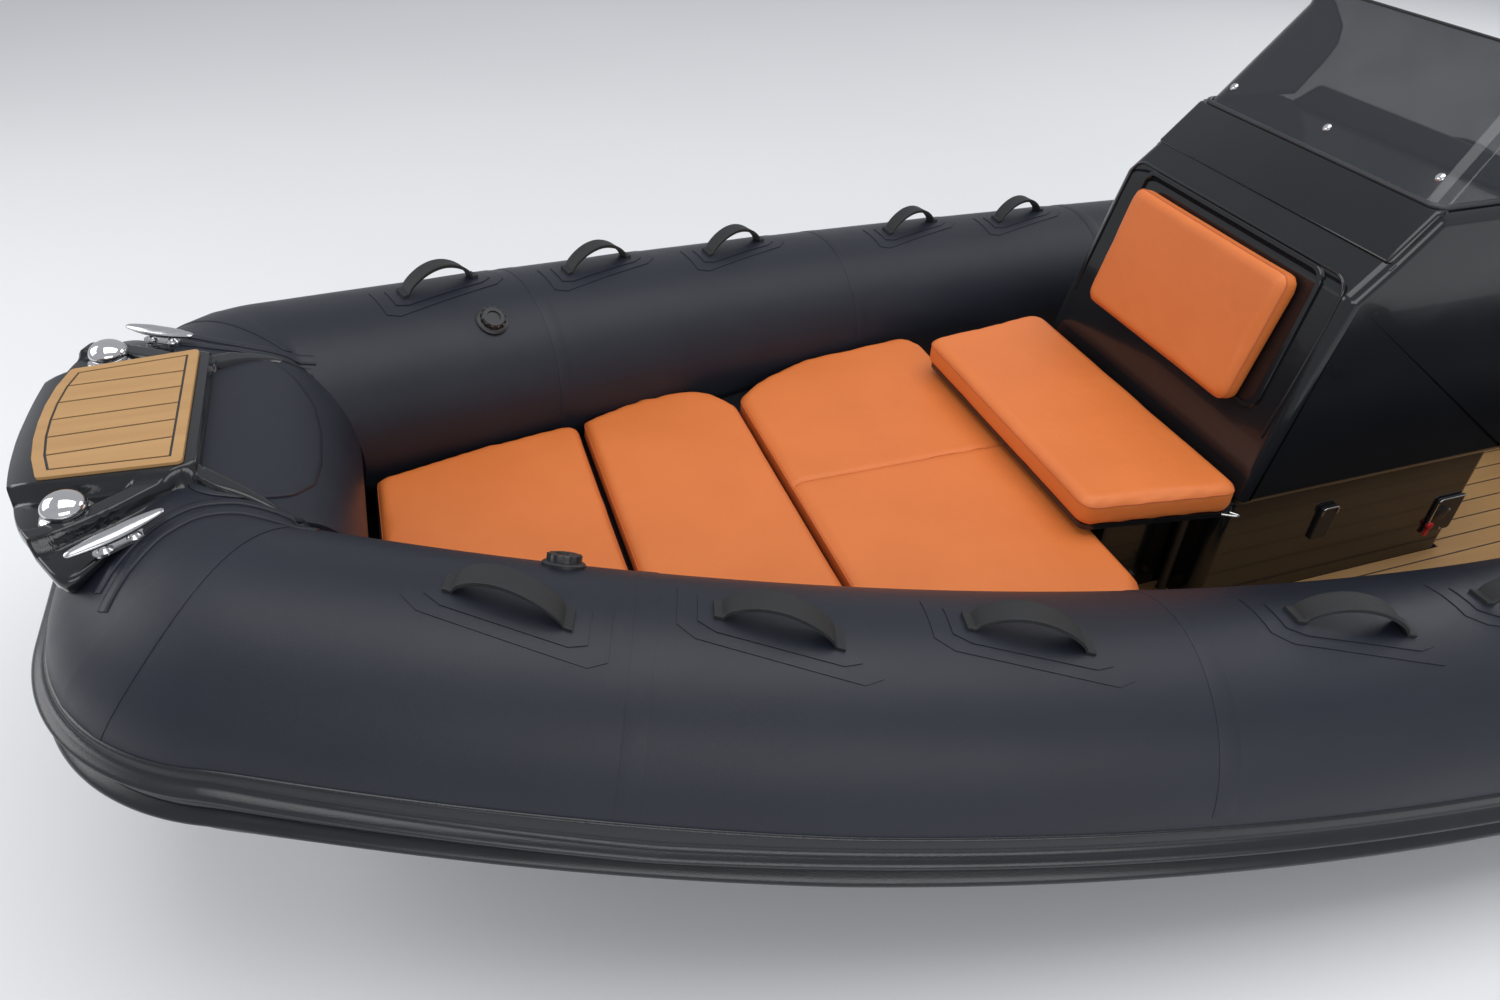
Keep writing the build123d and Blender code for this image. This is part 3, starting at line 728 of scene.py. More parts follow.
# ------------------------------------------------------------------ the air tube
@dataclass
class AirTube:
    """The air tube: level aft, drawn in and rising forward, with a blunt nose and a cone at each stern."""

    radius: float = 0.273
    side: float = 1.028
    height: float = 0.285
    stern: float = -2.780
    arc_start: float = -0.405
    arc: float = 7.896
    bow: float = 2.655
    nose: float = 0.411
    corner_cut: float = 0.105
    sheer_start: float = -0.983
    sheer_rate: float = 0.022
    cone: float = 0.370
    cone_tip: float = 0.095
    sides: int = 72
    panel_joints: tuple[float, ...] = (-1.90, -0.98, -0.06, 0.957, 1.948)
    corner_seam: tuple[float, float, float] = (0.024, 12.0, 112.0)
    under_seam: float = -42.0
    valve_places: tuple[float, ...] = (2.10, -0.30, -2.2)
    valve_angle: float = 123.0
    base_strip: float = 0.005
    rib: float = 0.022
    line: list[Vector] = field(default_factory=list)
    ahead: list[Vector] = field(default_factory=list)
    travel: list[float] = field(default_factory=list)

    def __post_init__(self) -> None:
        """Lays out the middle line of the port half."""
        turn = math.asin((self.bow - self.arc_start) / self.arc)
        self.before = Vector((math.cos(turn), -math.sin(turn), 0.0))
        self.after = Vector((0.0, -1.0, 0.0))
        angle = math.pi / 2 - turn
        self.corner_radius = self.corner_cut / math.tan(angle / 2)
        start = Vector((self.bow, self.nose, 0.0)) - self.before * self.corner_cut
        self.centre = start + Vector((self.before.y, -self.before.x, 0.0)) * self.corner_radius
        plan = [(self.stern + (self.arc_start - self.stern) * k / 40, self.side) for k in range(40)]
        run = start.x - self.arc_start
        for k in range(76):
            x = self.arc_start + run * k / 76
            plan.append((x, self.side - self.arc + math.sqrt(self.arc ** 2 - (x - self.arc_start) ** 2)))
        self.corner_from = len(plan)
        for k in range(25):
            swing = angle * k / 24
            out = Vector((-self.before.y, self.before.x, 0.0)) * self.corner_radius
            plan.append((self.centre.x + out.x * math.cos(swing) + out.y * math.sin(swing),
                         self.centre.y - out.x * math.sin(swing) + out.y * math.cos(swing)))
        self.corner_to = len(plan) - 1
        last = plan[-1][1]
        plan += [(self.bow, last * (1 - k / 10)) for k in range(1, 11)]
        self.line = [Vector((x, y, self.level(x))) for x, y in plan]
        for i in range(len(self.line)):
            a, b = self.line[max(0, i - 1)], self.line[min(len(self.line) - 1, i + 1)]
            self.ahead.append((b - a).normalized())
        self.ahead[-1] = self.after
        self.travel = [0.0]
        for a, b in zip(self.line, self.line[1:]):
            self.travel.append(self.travel[-1] + (b - a).length)

    def level(self, x: float) -> float:
        """Height of the middle line above the water at x."""
        return self.height + self.sheer_rate * max(0.0, x - self.sheer_start) ** 2

    def at_x(self, x: float) -> float:
        """Distance along the middle line at which it reaches x."""
        for i in range(1, len(self.line)):
            if self.line[i].x >= x:
                a, b = self.line[i - 1].x, self.line[i].x
                return self.travel[i - 1] + (self.travel[i] - self.travel[i - 1]) * (x - a) / (b - a)
        return self.travel[self.corner_to]

    def axes(self, s: float) -> tuple[Vector, Vector, Vector, Vector]:
        """The middle line at a distance along it.

        Args:
            s: distance from the stern.

        Returns:
            The point, and the directions ahead, outboard and up.
        """
        i = int(np.clip(np.searchsorted(self.travel, s) - 1, 0, len(self.line) - 2))
        share = (s - self.travel[i]) / (self.travel[i + 1] - self.travel[i])
        point = self.line[i].lerp(self.line[i + 1], share)
        ahead = self.ahead[i].lerp(self.ahead[i + 1], share).normalized()
        out = Vector((-ahead.y, ahead.x, 0.0)).normalized()
        return point, ahead, out, ahead.cross(out)

    def on(self, s: float, angle: float, lift: float = 0.0) -> Vector:
        """A point on the cloth.

        Args:
            s: distance from the stern.
            angle: degrees up from outboard.
            lift: height above the cloth.

        Returns:
            The point, held back on the corner's mitre where the tube folds inside the turn.
        """
        point, ahead, out, up = self.axes(s)
        reach = self.radius + lift
        across, rise = reach * math.cos(math.radians(angle)), reach * math.sin(math.radians(angle))
        here = point + out * across + up * rise
        mitre = (self.before + self.after).normalized()
        past = (here - self.centre).dot(mitre)
        if across > -self.corner_radius:
            return here
        if s < self.travel[self.corner_from]:
            return here - ahead * (past / ahead.dot(mitre)) if past > 0 else here
        if s > self.travel[self.corner_to]:
            return here - self.after * (past / self.after.dot(mitre)) if past < 0 else here
        start, ahead, out, up = self.axes(self.travel[self.corner_from])
        here = start + out * across + up * rise
        here.z += point.z - start.z
        return here - self.before * ((here - self.centre).dot(mitre) / self.before.dot(mitre))

    def surface(self) -> BVHTree:
        """The faces of the fore part of the tube, to lay things on."""
        cloth = self.stretch(self.corner_from - 30, len(self.line) - 1).both()
        return BVHTree.FromPolygons(cloth.verts, cloth.faces)

    def stretch(self, first: int, last: int) -> Shape:
        """The cloth between two stations of the middle line."""
        rings = [[self.on(self.travel[i], 360.0 * k / self.sides) for k in range(self.sides)]
                 for i in range(first, last + 1)]
        return Shape().skin(rings, caps=False)

    def stern_cone(self) -> Shape:
        """The cone, its rounded shoulder and its cap."""
        profile = [(self.radius, 0.0), (self.radius * 0.985, 0.045), (self.radius * 0.93, 0.10)]
        steps = 8
        for k in range(1, steps + 1):
            share = k / steps
            profile.append((self.radius * 0.93 + (self.cone_tip - self.radius * 0.93) * share,
                            0.10 + (self.cone - 0.125) * share))
        profile += [(self.cone_tip, self.cone - 0.02), (self.cone_tip * 0.96, self.cone - 0.006),
                    (self.cone_tip * 0.86, self.cone), (0.002, self.cone)]
        place_at = spot((self.stern, self.side, self.height), "Y", -90.0)
        return Shape().turned(profile, place_at, self.sides)

    def patch(self, s0: float, s1: float, a0: float, a1: float, lift: float, corner: float = 0.0,
              skew: float = 0.0) -> Shape:
        """A thin sheet glued on the cloth.

        Args:
            s0: where it starts along the tube.
            s1: where it ends.
            a0: its lower angle.
            a1: its upper angle.
            lift: its thickness.
            corner: radius of its corners.
            skew: degrees that it climbs in each metre along the tube.

        Returns:
            The sheet as a closed shape.
        """
        middle, half = (s0 + s1) / 2, (s1 - s0) / 2
        arc = math.radians(a1 - a0) * self.radius / 2
        steps = max(8, int((s1 - s0) / 0.03))
        top, under = [], []
        for i in range(steps + 1):
            u = -half + 2 * half * i / steps
            near = max(0.0, abs(u) - (half - corner))
            width = arc - corner + math.sqrt(max(0.0, corner ** 2 - near ** 2)) if corner else arc
            spread = math.degrees(width / self.radius)
            angles = [(a0 + a1) / 2 + skew * u + spread * (2 * k / 12 - 1) for k in range(13)]
            top.append([self.on(middle + u, a, lift) for a in angles])
            under.append([self.on(middle + u, a, -0.003) for a in reversed(angles)])
        return Shape().skin([a + b for a, b in zip(top, under)])

    def tape(self, route: Callable[[float], Flat], width: float, lift: float,
             steps: int = 60) -> Shape:
        """A seam tape.

        Args:
            route: gives (distance, angle) for a share of the way from nought to one.
            width: the tape's width.
            lift: its thickness.
            steps: stations along it.

        Returns:
            The tape as a closed shape.
        """
        rings = []
        for i in range(steps + 1):
            s, a = route(i / steps)
            s2, a2 = route(min(1.0, i / steps + 0.01)) if i < steps else route(1.0)
            s1, a1 = route(max(0.0, i / steps - 0.01))
            run = Vector((s2 - s1, math.radians(a2 - a1) * self.radius)).normalized()
            side = Vector((-run.y, run.x)) * width / 2
            swing = math.degrees(side.y / self.radius)
            rings.append([self.on(s + side.x, a + swing, -0.002), self.on(s + side.x, a + swing, lift * 0.6),
                          self.on(s + side.x * 0.8, a + swing * 0.8, lift),
                          self.on(s - side.x * 0.8, a - swing * 0.8, lift),
                          self.on(s - side.x, a - swing, lift * 0.6), self.on(s - side.x, a - swing, -0.002)])
        return Shape().skin(rings)

    def build(self) -> None:
        """Makes the tube's cloth, its seams, the strake and the valves."""
        split = self.corner_from - 6
        port = self.stretch(0, split).add(self.stern_cone())
        place("air_tube_port", port, Finish.CLOTH, replaces=["tube_port"], crease=50)
        place("air_tube_starboard", port.mirrored(), Finish.CLOTH, replaces=["tube_starboard"], crease=50)
        bow = self.stretch(split, len(self.line) - 1).both()
        place("air_tube_bow", bow, Finish.CLOTH, replaces=["tube_bow"], crease=50)
        self.seams()
        self.strake()
        self.valves()

    def seams(self) -> None:
        """Tapes round the tube at the panel joints, under the sides and over the bow corners."""
        tapes = Shape()
        for x in self.panel_joints:
            s = self.at_x(x)
            tapes.add(self.tape(lambda share, s=s: (s, 14.0 + share * 190.0), 0.040, 0.0010))
        middle = self.travel[(self.corner_from + self.corner_to) // 2]
        aft, first, sweep = self.corner_seam

        def over_corner(share: float) -> Flat:
            """The corner seam: up the mitre with a slight bow aft."""
            return middle - aft * math.sin(math.pi * share), first + sweep * share

        tapes.add(self.tape(over_corner, 0.046, 0.0014, 90))
        start, end = self.at_x(-2.6), self.travel[self.corner_from]
        tapes.add(self.tape(lambda share: (start + (end - start) * share, self.under_seam), 0.05, 0.0012,
                            140))
        place("seam_tapes", tapes.both(), Finish.CLOTH, crease=60)

    def strake(self) -> None:
        """The rubbing strake: a base strip with two round ribs and a groove between them."""
        rings = []
        stations = [0.02] + self.travel[1:self.corner_from]
        a, b = self.travel[self.corner_from], self.travel[self.corner_to]
        stations += [a + (b - a) * k / 60 for k in range(61)] + self.travel[self.corner_to + 1:]
        for s in stations:
            x = self.axes(s)[0].x
            bow = unit((x - 1.6) / 0.9)
            top = -1.0 + 9.0 * unit((x - 1.9) / 0.75)
            low = -14.0 + 8.0 * bow
            edge = 9.0 + 6.0 * bow
            foot = low - 9.0
            ribs = [[(self.base_strip + self.rib * math.sin(math.pi * k / 8), angle + 3.0 - 6.0 * k / 8)
                     for k in range(9)] for angle in (top, low)]
            mid = (top + low) / 2
            profile = [(-0.002, edge), (0.003, edge - 0.3), (0.0045, edge - 1.2),
                       (self.base_strip, top + 5.0),
                       *ribs[0], (0.008, mid + 0.8), (0.006, mid), (0.008, mid - 0.8),
                       *ribs[1], (self.base_strip, foot + 1.2), (0.003, foot + 0.3), (-0.002, foot)]
            rings.append([self.on(s, a, lift) for lift, a in profile])
        place("rubbing_strake", Shape().skin(rings).both(), Finish.STRAKE, replaces=["rub_strake"], crease=70)

    def valves(self) -> None:
        """A filling valve with a finger rim on each side, inboard of the top."""
        valve = Shape()
        for x in self.valve_places:
            s = self.at_x(x)
            point, ahead, out, up = self.axes(s)
            a = math.radians(self.valve_angle)
            normal = out * math.cos(a) + up * math.sin(a)
            side = ahead.cross(normal)
            frame = Matrix((ahead, side, normal)).transposed().to_4x4()
            frame.translation = self.on(s, self.valve_angle)
            profile = [(0.040, -0.004), (0.041, 0.004), (0.038, 0.007), (0.031, 0.008), (0.030, 0.019),
                       (0.027, 0.022), (0.017, 0.022), (0.016, 0.018), (0.003, 0.018)]
            valve.turned(profile, frame, 36)
            for turn in turns(frame, 12):
                valve.add(Shape().box((0.029, -0.0025, 0.009), (0.0325, 0.0025, 0.021)).moved(turn))
        place("filling_valves", valve.both(), Finish.PLASTIC, replaces=["tube_valves"], crease=45)


@dataclass
class GrabHandles:
    """Strap handles along the top of the tube, each on a double patch."""

    tube: AirTube
    places: tuple[float, ...] = (2.168, 1.728, 1.285, 0.629, 0.190, -0.560, -1.250, -1.900)
    top: float = 88.0
    skew: float = 5.0
    reach: float = 0.098
    rise: float = 0.050
    width: float = 0.042
    thick: float = 0.0080

    def strap(self, s: float) -> Shape:
        """One arched strap with flat feet.

        Args:
            s: where its middle stands along the tube.

        Returns:
            The strap.
        """
        rings = []
        steps = 44
        for i in range(steps + 1):
            u = -1.16 + 2.32 * i / steps
            bow = math.cos(min(1.0, abs(u)) * math.pi / 2) ** 0.62 if abs(u) < 1 else 0.0
            height = 0.0062 + self.rise * bow
            along = u * self.reach
            angle = self.top + self.skew * u
            flare = 1.0 + 0.16 * max(0.0, abs(u) - 0.85)
            half = math.degrees(self.width * flare / 2 / self.tube.radius)
            rim = 0.0012
            section = [(-1.0, 0.0), (-0.9, rim), (-0.55, 0.0004), (0.0, 0.0), (0.55, 0.0004), (0.9, rim),
                       (1.0, 0.0)]
            low = [self.tube.on(s + along, angle + half * w, height - self.thick / 2) for w, _ in section]
            high = [self.tube.on(s + along, angle + half * w, height + self.thick / 2 + r)
                    for w, r in reversed(section)]
            rings.append(low + high)
        return Shape().skin(rings)

    def build(self) -> None:
        """Makes the straps and their patches."""
        straps, patches = Shape(), Shape()
        for x in self.places:
            s = self.tube.at_x(x)
            straps.add(self.strap(s))
            for half, spread, lift, corner in ((0.178, 15.5, 0.0016, 0.020), (0.142, 10.5, 0.0036, 0.014)):
                patches.add(self.tube.patch(s - half, s + half, self.top - spread, self.top + spread, lift,
                                            corner,
                                            self.skew / self.reach))
        place("grab_handle_straps", straps.both(), Finish.WEBBING, replaces=["grab_handles"], crease=60)
        place("grab_handle_patches", patches.both(), Finish.CLOTH, replaces=["handle_patches"], crease=60)


def ground(tree: BVHTree, x: float, y: float, lift: float) -> Vector:
    """The point straight above a surface at (x, y), raised square to it.

    Args:
        tree: the surface's faces.
        x: place along the boat.
        y: place across it.
        lift: height above the surface.

    Returns:
        The point.
    """
    point, normal, _, _ = tree.ray_cast(Vector((x, y, 2.0)), Vector((0.0, 0.0, -1.0)))
    return point + (normal if normal.z > 0 else -normal) * lift


def draped(tree: BVHTree, route: Outline, width: float, lift: float,
           step: float = 0.008) -> Shape:
    """A flat strip glued down along a route seen from above.

    Args:
        tree: the surface that it lies on.
        route: points of its middle line.
        width: its width.
        lift: its thickness.
        step: distance between its sections.

    Returns:
        The strip as a closed shape.
    """
    line = rounded(list(route), [0.0] + [0.12] * (len(route) - 2) + [0.0], 6)
    places, rings = [], []
    for a, b in zip(line, line[1:]):
        a, b = Vector(a), Vector(b)
        count = max(1, round((b - a).length / step))
        places += [a.lerp(b, k / count) for k in range(count)]
    places.append(Vector(line[-1]))
    for i, here in enumerate(places):
        run = (places[min(i + 1, len(places) - 1)] - places[max(i - 1, 0)]).normalized()
        side = Vector((-run.y, run.x)) * width / 2
        section = [(1.0, -0.002), (1.0, lift * 0.5), (0.86, lift), (0.3, lift), (-0.3, lift), (-0.86, lift),
                   (-1.0, lift * 0.5), (-1.0, -0.002)]
        rings.append([ground(tree, *(here + side * share), up) for share, up in section])
    return Shape().skin(rings)


def blanket(tree: BVHTree, outline: Outline, lift: float) -> Shape:
    """A sheet glued down inside an outline seen from above, with a rounded edge.

    Args:
        tree: the surface that it lies on.
        outline: its edge.
        lift: its thickness.

    Returns:
        The sheet as a closed shape.
    """
    middle = middle_of(outline)
    rows = [(1.0, -0.002), (1.0, lift * 0.5), (0.985, lift)]
    rows += [(share / 12, lift) for share in range(11, 0, -1)]
    rings = [[ground(tree, *middle.lerp(Vector(point), share), up) for point in outline]
             for share, up in rows]
    return Shape().skin(rings)


@dataclass
class TeakPanel:
    """A panel of synthetic teak: a border, and fore-and-aft strips with real caulk lines between them."""

    name: str
    outline: list[Flat]
    low: float
    high: float
    border: float = 0.019
    pitch: float = 0.060
    caulk: float = 0.0045
    replaces: tuple[str, ...] = ()

    def build(self) -> None:
        """Makes the dark base, the border and the strips."""
        place(self.name + "_base", Shape().plate(inset(self.outline, 0.001), self.low, self.high - 0.0018),
              Finish.RUBBER, replaces=self.replaces)
        inner, field_edge = shrunk(self.outline, self.border), shrunk(self.outline, self.border + self.caulk)
        edge = 0.0008
        loops = [(self.outline, self.low), (self.outline, self.high - edge),
                 (inset(self.outline, edge), self.high), (inner, self.high), (inner, self.low),
                 (self.outline, self.low)]
        boards = Shape().skin([[(x, y, z) for x, y in loop] for loop, z in loops], caps=False)
        low, high = min(y for _, y in field_edge), max(y for _, y in field_edge)
        count = max(1, round((high - low) / self.pitch))
        pitch = (high - low) / count
        for k in range(count):
            start = low + pitch * k + (self.caulk / 2 if k else 0.0)
            end = low + pitch * (k + 1) - (self.caulk / 2 if k < count - 1 else 0.0)
            boards.plate(clip(field_edge, start, end), self.low, self.high)
        place(self.name + "_teak", boards, Finish.TEAK, crease=25)


@dataclass
class BowStep:
    """The moulded bow step: a raised middle under its pad, a ridge round each light, and low side shelves."""

    tube: AirTube
    top: float = 0.886
    basin: float = 0.857
    ridge: float = 0.871
    shelf: float = 0.843
    foot: float = 0.735
    undercut: float = 0.032
    back: float = 2.622
    # the ridge's middle line on the port side, from its aft tip
    crest: tuple[Flat, ...] = ((2.497, 0.276), (2.568, 0.240), (2.620, 0.200), (2.652, 0.194),
                                              (2.700, 0.222), (2.751, 0.261), (2.800, 0.292), (2.850, 0.318),
                                              (2.880, 0.320))
    # how far out the moulding reaches at each x
    reach_x: tuple[float, ...] = (2.494, 2.504, 2.555, 2.592, 2.629, 2.681, 2.717, 2.750, 2.780, 2.805, 2.828,
                                  2.851, 2.875, 2.900, 2.918, 2.932, 2.941, 2.946)
    reach_y: tuple[float, ...] = (0.279, 0.287, 0.266, 0.256, 0.266, 0.300, 0.332, 0.364, 0.396, 0.414, 0.410,
                                  0.378, 0.336, 0.284, 0.230, 0.165, 0.100, 0.030)

    def __post_init__(self) -> None:
        """Smooths the ridge's line and takes the cloth that the moulding stands on."""
        self.crest = [point[:2] for point in smooth_line([(x, y, 0.0) for x, y in self.crest], 5)]
        edge = smooth_line([(x, y, 0.0) for x, y in zip(self.reach_x, self.reach_y)], 6)
        self.reach_x, self.reach_y = [point[0] for point in edge], [point[1] for point in edge]
        self.cloth_top = self.tube.surface()

    def cloth_at(self, x: float, y: float) -> float:
        """Height of the tube's cloth at a point."""
        hit = self.cloth_top.ray_cast(Vector((x, y, 2.0)), Vector((0.0, 0.0, -1.0)))[0]
        return hit.z if hit else self.foot

    def height(self, x: float, y: float, arm_only: bool) -> float:
        """How high the moulding's top stands at a point: aft, its arms run down onto the cloth.

        Args:
            x: place along the boat.
            y: place across it.
            arm_only: leaves out the raised middle.

        Returns:
            The height.
        """
        out = abs(y)
        arm = ease((2.650 - x) / 0.045)
        ground_z = self.cloth_at(x, out) if arm else 0.0
        crest = self.ridge + (ground_z + 0.004 + 0.10 * (x - self.reach_x[0]) - self.ridge) * arm
        half = float(np.interp(x, (2.620, 2.650, 2.876, 2.930), (0.196, 0.214, 0.197, 0.180)))
        swell = 1.0 if arm_only else ease((out - half) / 0.022)
        here = Vector((x, out))
        near, side = 1.0, 0.0
        for a, b in zip(self.crest, self.crest[1:]):
            a, run = Vector(a), Vector(b) - Vector(a)
            off = here - a - run * unit((here - a).dot(run) / run.length_squared)
            if off.length < near:
                near, side = off.length, run.x * off.y - run.y * off.x
        low = self.shelf if side > 0 else self.basin
        low += (min(low, ground_z - 0.004) - low) * arm
        wall = (near - 0.020) / 0.010 if side > 0 else (near - 0.010) / 0.016
        flank = crest + (low - crest) * ease(wall)
        front = 0.020 * max(0.0, (x - 2.875) / 0.07) ** 2 + 0.012 * max(0.0, (out - 0.33) / 0.08) ** 2
        return max(self.top + (flank - self.top) * swell, flank) - front

    def sections(self, stations: Sequence[float], inner: Callable[[float], float]) -> list[list[Point]]:
        """Cross-sections of the port side of the moulding, or of all of it.

        Args:
            stations: places along the boat.
            inner: where each section starts, across the boat.

        Returns:
            One ring for each station: along the top, over the rim and back underneath.
        """
        rings = []
        for x in stations:
            start, reach = inner(x), float(np.interp(x, self.reach_x, self.reach_y))
            count = 190 if start < 0 else 40
            shares = [(1 - math.cos(math.pi * k / count)) / 2 for k in range(count + 1)]
            shares = [0.5 * (share + k / count) for k, share in enumerate(shares)]
            across = [start + (reach - start) * share for share in shares]
            crown = [(x, y, self.height(x, y, start > 0) - self.rim(reach - abs(y))
                      - (self.rim(y - start) if start > 0 else 0.0)) for y in across]
            tuck = max(reach - self.undercut, 0.8 * reach) if start < 0 else reach
            foot = max(self.foot, self.cloth_at(x, tuck) - 0.014)
            under = [(x, tuck, foot), (x, -tuck if start < 0 else start, foot)]
            rings.append(crown + under)
        return rings

    @staticmethod
    def rim(inside: float) -> float:
        """How far the top is rounded down at a distance inside the edge."""
        near = max(0.0, 1.0 - inside / 0.012)
        return 0.012 * (1.0 - math.sqrt(1.0 - near * near))

    def moulding(self) -> Shape:
        """The whole moulding."""
        front = self.reach_x[-1]
        stations = [self.back + (front - self.back) * math.sin(math.pi / 2 * k / 110) for k in range(111)]
        body = Shape().skin(self.sections(stations,
                                          lambda x: -float(np.interp(x, self.reach_x, self.reach_y))))
        tips = [self.reach_x[0] + (self.back + 0.012 - self.reach_x[0]) * k / 30 for k in range(31)]
        inner = (2.494, 2.504, 2.568, 2.615, 2.622), (0.2785, 0.262, 0.219, 0.184, 0.150)
        arm = Shape().skin(self.sections(tips, lambda x: float(np.interp(x, *inner))))
        return body.add(arm.both())

    def fittings(self) -> None:
        """Side lights and cleats."""
        at = spot((2.824, 0.271, 0.0))
        dome = [(0.045, 0.846), (0.045, 0.8585), (0.042, 0.8625), (0.034, 0.864), (0.0325, 0.868),
                (0.036, 0.871)]
        dome += [(0.0375 * math.cos(a), 0.876 + 0.0275 * math.sin(a)) for a in np.linspace(0.0, 1.5, 14)]
        place("side_light_domes", Shape().turned(dome, at, 56).both(), Finish.CHROME,
              replaces=["side_lights"],
              crease=45)
        cleats = self.cleat(Vector((2.737, 0.359, self.shelf)), math.radians(32)).both()
        place("bow_cleat_pair", cleats, Finish.STEEL, replaces=["bow_cleats"], crease=50)

    @staticmethod
    def cleat(foot: Vector, turn: float) -> Shape:
        """A two-horned cleat.

        Args:
            foot: the middle of its base.
            turn: how far its horns are turned from fore and aft, in radians.

        Returns:
            The cleat.
        """
        at = Matrix.Translation(foot) @ Matrix.Rotation(turn, 4, "Z")
        shape = Shape()
        sizes = ((0.000, 0.0098), (0.015, 0.0097), (0.030, 0.0092), (0.046, 0.0080), (0.060, 0.0066),
                 (0.072, 0.0052), (0.079, 0.0038), (0.082, 0.0018))
        bar = [(side * x, r) for side in (-1, 1) for x, r in sizes[::side] if x or side > 0]
        horns = Shape().rod([(x, 0.0, 0.024 + 0.03 * abs(x)) for x, _ in bar], [r for _, r in bar], 18)
        shape.add(horns.moved(Matrix.Diagonal((1.0, 1.8, 1.0, 1.0))))
        for x in (-0.024, 0.024):
            leg = [(x, 0, 0.0), (x, 0, 0.004), (x, 0, 0.008), (x * 0.95, 0, 0.015), (x * 0.9, 0, 0.023)]
            shape.add(Shape().rod(leg, [0.0135, 0.0130, 0.0085, 0.0070, 0.0080], 18))
        shape.plate(oblong(-0.044, 0.044, -0.013, 0.013, 0.0125), 0.0, 0.004)
        return shape.moved(at)

    def cloth(self) -> None:
        """The cover patch behind the step and the reinforcing strips beside it."""
        tree = self.cloth_top
        half = [(2.436, 0.06), (2.446, 0.15), (2.480, 0.225), (2.535, 0.268), (2.620, 0.262), (2.66, 0.20)]
        edge = rounded(whole(half), 0.09, 5)
        place("bow_cover_patch", blanket(tree, edge, 0.0042), Finish.CLOTH, crease=60)
        strips = Shape()
        rows = (([(2.450, 0.292), (2.560, 0.276), (2.630, 0.288), (2.690, 0.328), (2.745, 0.388),
                  (2.775, 0.430)], 0.016),
                ([(2.440, 0.318), (2.560, 0.302), (2.622, 0.316), (2.680, 0.360), (2.730, 0.420),
                  (2.765, 0.470)], 0.020))
        for route, width in rows:
            strips.add(draped(tree, route, width, 0.0032))
        place("bow_reinforcing_strips", strips.both(), Finish.CLOTH, crease=60)

    def build(self) -> None:
        """Makes the moulding, its pad, its fittings and the cloth round it."""
        place("bow_step_moulding", self.moulding(), Finish.BLACK, replaces=["bow_step"], crease=75)
        outline = rounded([(2.641, 0.209), (2.641, -0.209), (2.876, -0.191), (2.893, -0.125), (2.901, -0.060),
                           (2.903, 0.0), (2.901, 0.060), (2.893, 0.125), (2.876, 0.191)],
                          [0.010, 0.010, 0.010] + [0.0] * 5 + [0.010], 5)
        TeakPanel("bow_pad", outline, self.top - 0.002, self.top + 0.0065, replaces=("bow_step_pad",)).build()
        self.fittings()
        self.cloth()


